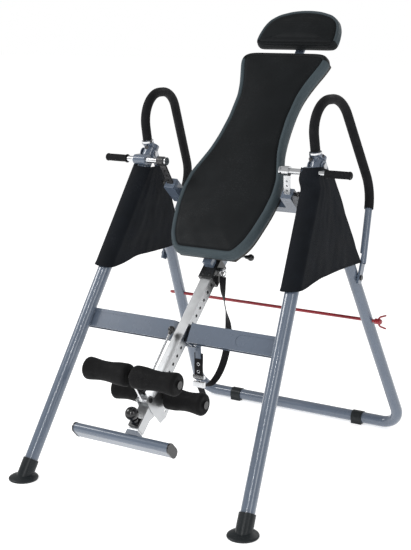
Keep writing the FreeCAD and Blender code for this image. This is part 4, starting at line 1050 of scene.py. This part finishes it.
# tether strap and belt
tether = {
    "width": 0.028, "thickness": 0.0025, "x": 0.044, "footLine": 0.57112, "twist": 1.0,
    "route": [(0.503, 0.657), (0.501, 0.613), (0.511, 0.568), (0.532, 0.518), (0.543, 0.467), (0.536, 0.416),
              (0.519, 0.370), (0.490, 0.330), (0.450, 0.303), (0.408, 0.296), (0.362, 0.312)],
}


def splinePoints(route, x):
    # smooth NURBS line with the route's points as control points, read back from the curve
    data = bpy.data.curves.new("strapLine", "CURVE")
    data.dimensions = "3D"
    data.resolution_u = 12
    spline = data.splines.new("NURBS")
    spline.points.add(len(route) - 1)
    for point, (y, z) in zip(spline.points, route):
        point.co = (x, y - tether["footLine"], z, 1)
    spline.order_u = 3
    spline.use_endpoint_u = True
    holder = bpy.data.objects.new("strapLine", data)
    bpy.context.scene.collection.objects.link(holder)
    bpy.context.view_layer.update()
    mesh = bpy.data.meshes.new_from_object(holder.evaluated_get(bpy.context.evaluated_depsgraph_get()))
    points = np.array([v.co for v in mesh.vertices], float)
    bpy.data.objects.remove(holder)
    return points


def flatWebbing(name, points, width, thickness, twist=0.0, twistAt=0.2, twistSpan=0.13):
    # a flat section with round edges carried along a line, across X but for a twist round one place of it
    tangent = np.gradient(points, axis=0)
    tangent /= np.linalg.norm(tangent, axis=1)[:, None]
    across = np.tile([1.0, 0, 0], (len(points), 1))
    normal = np.cross(tangent, across)
    normal /= np.linalg.norm(normal, axis=1)[:, None]
    share = np.linspace(0, 1, len(points))[:, None]
    turn = twist * np.exp(-((share - twistAt) / twistSpan) ** 2)
    a = across * np.cos(turn) + normal * np.sin(turn)
    n = normal * np.cos(turn) - across * np.sin(turn)
    half, edge = width / 2, thickness / 2
    turnRight = np.linspace(-math.pi / 2, math.pi / 2, 7)
    flatX = np.linspace(-(half - edge), half - edge, 9)
    section = np.vstack([
        np.stack([half - edge + edge * np.cos(turnRight), edge * np.sin(turnRight)], axis=-1),
        np.stack([flatX[::-1][1:-1], np.full(7, edge)], axis=-1),
        np.stack([-(half - edge) - edge * np.cos(turnRight), edge * np.sin(-turnRight)], axis=-1),
        np.stack([flatX[1:-1], np.full(7, -edge)], axis=-1),
    ])
    grid = points[:, None, :] + a[:, None, :] * section[None, :, :1] + n[:, None, :] * section[None, :, 1:]
    piece = meshFromGrid(name, grid, wrapColumns=True)
    run = np.concatenate([[0], np.cumsum(np.linalg.norm(np.diff(points, axis=0), axis=1))])
    flat = np.stack([np.broadcast_to(section[:, 0], (len(points), len(section))),
            np.broadcast_to(run[:, None], (len(points), len(section)))], axis=-1).reshape(-1, 2)
    layer = piece.data.uv_layers.new(name="cloth")
    corner = np.empty(len(piece.data.loops), np.int32)
    piece.data.loops.foreach_get("vertex_index", corner)
    layer.data.foreach_set("uv", flat[corner].astype(np.float32).reshape(-1))
    bm = bmesh.new()
    bm.from_mesh(piece.data)
    bmesh.ops.holes_fill(bm, edges=[e for e in bm.edges if e.is_boundary], sides=0)
    bmesh.ops.recalc_face_normals(bm, faces=bm.faces)
    bm.to_mesh(piece.data)
    bm.free()
    piece.data.polygons.foreach_set("use_smooth", np.ones(len(piece.data.polygons), bool))
    piece.data.materials.append(webbing)
    return piece


strapLine = splinePoints(tether["route"], tether["x"])
strap = flatWebbing("tetherWebbing", strapLine, tether["width"], tether["thickness"], twist=tether["twist"])
strapLength = float(np.linalg.norm(np.diff(strapLine, axis=0), axis=1).sum())
print("strap line", len(strapLine), "points, length", round(strapLength, 3))
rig.replaces(strap, "tether_strap")
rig.slot(strap, "webbing")
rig.cord(strap, exit=(0.044, -0.06812, 0.657), length=0.48, diameter=0.028, far_end="object",
        stiffness="limp", lay="hanging", path=strapLine.tolist())
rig.blend(strap, "front_frame", "bed", start=(0.044, -0.1, 0.33), end=(0.044, -0.06, 0.64))

# belt that hangs from the crossbar's tab, and the free end below the buckle
buckleLow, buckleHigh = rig.box("tether_buckle")
beltLow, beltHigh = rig.box("tether_belt")
beltX = (beltLow.x + beltHigh.x) / 2
beltBack = buckleHigh.y - 0.007
beltTop = beltHigh.z
beltLook = {"points": 24, "inset": 0.0013, "start": 0.010, "end": 0.102, "ripple": 0.0006,
            "width": 0.034, "thickness": 0.0026}
beltLine = np.stack([np.full(beltLook["points"], beltX),
         np.full(beltLook["points"], beltBack - beltLook["inset"]),
         np.linspace(beltTop - beltLook["start"], beltTop - beltLook["end"], beltLook["points"])],
        axis=-1)
beltLine[:, 1] += beltLook["ripple"] * np.sin(np.linspace(0, 3 * math.pi, beltLook["points"]))
belt = flatWebbing("tetherBelt", beltLine, beltLook["width"], beltLook["thickness"])
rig.replaces(belt, "tether_belt")
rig.slot(belt, "webbing")
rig.ride(belt, "front_frame")
eyelet = {"radius": 0.0048, "wire": 0.0013, "drops": (0.018, 0.048, 0.074)}
around, tube = np.meshgrid(np.linspace(0, 2 * math.pi, 24, endpoint=False),
        np.linspace(0, 2 * math.pi, 10, endpoint=False), indexing="ij")
rims = []
for drop in eyelet["drops"]:
    # ring of round wire lying on the belt's front face
    reach = eyelet["radius"] + eyelet["wire"] * np.cos(tube)
    rim = np.stack([beltX + reach * np.cos(around), beltBack - 0.0030 + eyelet["wire"] * np.sin(tube),
                    beltTop - drop + reach * np.sin(around)], axis=-1)
    rims.append(meshFromGrid("rim", rim, wrapRows=True, wrapColumns=True))
    rims[-1].data.materials.append(chrome)
eyelets = cleanMesh(joinPieces("beltEyelets", rims))
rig.slot(eyelets, "chrome")
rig.ride(eyelets, "front_frame")
tailTop = np.array([beltX, beltBack + 0.0025, buckleLow.z + 0.008])
tailLook = {"points": 30, "length": 0.088, "lean": math.radians(24), "bow": 0.004, "width": 0.027,
            "thickness": 0.0025}
tailRun = np.linspace(0, tailLook["length"], tailLook["points"])
tailShare = tailRun / tailLook["length"]
tailBack = tailRun * math.sin(tailLook["lean"])
tailLine = np.stack([np.full(tailLook["points"], beltX) + tailLook["bow"] * tailShare ** 2,
        tailTop[1] + tailBack + tailLook["bow"] * np.sin(tailShare * math.pi),
        tailTop[2] - tailRun * math.cos(tailLook["lean"])], axis=-1)
tail = flatWebbing("tetherTail", tailLine, tailLook["width"], tailLook["thickness"])
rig.slot(tail, "webbing")
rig.ride(tail, "front_frame")
print("tether made")

# floor, light and camera
floorMesh = bpy.data.meshes.new("floor")
floorMesh.from_pydata([(-30, -30, 0), (30, -30, 0), (30, 30, 0), (-30, 30, 0)], [], [(0, 1, 2, 3)])
floor = bpy.data.objects.new("floor", floorMesh)
bpy.context.scene.collection.objects.link(floor)
floorPaint = bpy.data.materials.new("paleFloor")
floorPaint.use_nodes = True
floorPaint.node_tree.nodes["Principled BSDF"].inputs["Base Color"].default_value = (0.85, 0.85, 0.85, 1)
floorPaint.node_tree.nodes["Principled BSDF"].inputs["Roughness"].default_value = 0.9
floorPaint.node_tree.nodes["Principled BSDF"].inputs["Emission Color"].default_value = (1, 1, 1, 1)
floorPaint.node_tree.nodes["Principled BSDF"].inputs["Emission Strength"].default_value = 0.6
floorMesh.materials.append(floorPaint)
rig.stage(floor)

studio = {"world": 0.48, "backdrop": 1.0, "key": 70.0, "fill": 24.0, "rim": 25.0, "strip": 45.0,
          "target": (-0.08, 0.0, 0.7)}


def areaLight(name, place, target, power, width, height):
    data = bpy.data.lights.new(name, "AREA")
    data.shape = "RECTANGLE"
    data.size, data.size_y, data.energy = width, height, power
    lamp = bpy.data.objects.new(name, data)
    bpy.context.scene.collection.objects.link(lamp)
    lamp.location = place
    way = np.array(target) - np.array(place)
    lamp.rotation_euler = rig.Vector(way).to_track_quat("-Z", "Y").to_euler()
    return lamp


areaLight("keyLight", (-3.2, -1.7, 3.0), studio["target"], studio["key"], 1.6, 1.6)
areaLight("fillLight", (3.4, -1.6, 2.2), studio["target"], studio["fill"], 1.0, 2.4)
areaLight("stripLight", (0.9, -4.2, 2.6), (0.0, 0.0, 0.5), studio["strip"], 0.16, 2.6)
areaLight("rimLight", (0.5, 3.2, 2.6), studio["target"], studio["rim"], 2.4, 1.2)
world = bpy.data.worlds.new("studio")
bpy.context.scene.world = world
world.use_nodes = True
worldTree = world.node_tree
backdrop = worldTree.nodes["Background"]
backdrop.inputs["Color"].default_value = (1, 1, 1, 1)
seen = worldTree.nodes.new("ShaderNodeLightPath").outputs["Is Camera Ray"]
strength = rangeNode(worldTree, seen, 0, 1, studio["world"], studio["backdrop"])
worldTree.links.new(strength, backdrop.inputs["Strength"])
bpy.context.scene.view_settings.view_transform = "Standard"

shot = {"place": (2.1611, -3.4849, 1.5354), "forward": (-0.5268, 0.8231, -0.2121), "lens": 79.67,
        "sensor": 36.0}
cameraData = bpy.data.cameras.new("camera")
cameraData.lens = shot["lens"]
cameraData.sensor_width = shot["sensor"]
camera = bpy.data.objects.new("camera", cameraData)
bpy.context.scene.collection.objects.link(camera)
camera.location = shot["place"]
camera.rotation_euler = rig.Vector(shot["forward"]).to_track_quat("-Z", "Y").to_euler()
bpy.context.scene.camera = camera
print("studio ready")

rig.json.dump({"cad": [list(corner) for corner in cadBox],
              "visual": [list(corner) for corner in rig.bounds()]}, open("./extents.json", "w"))
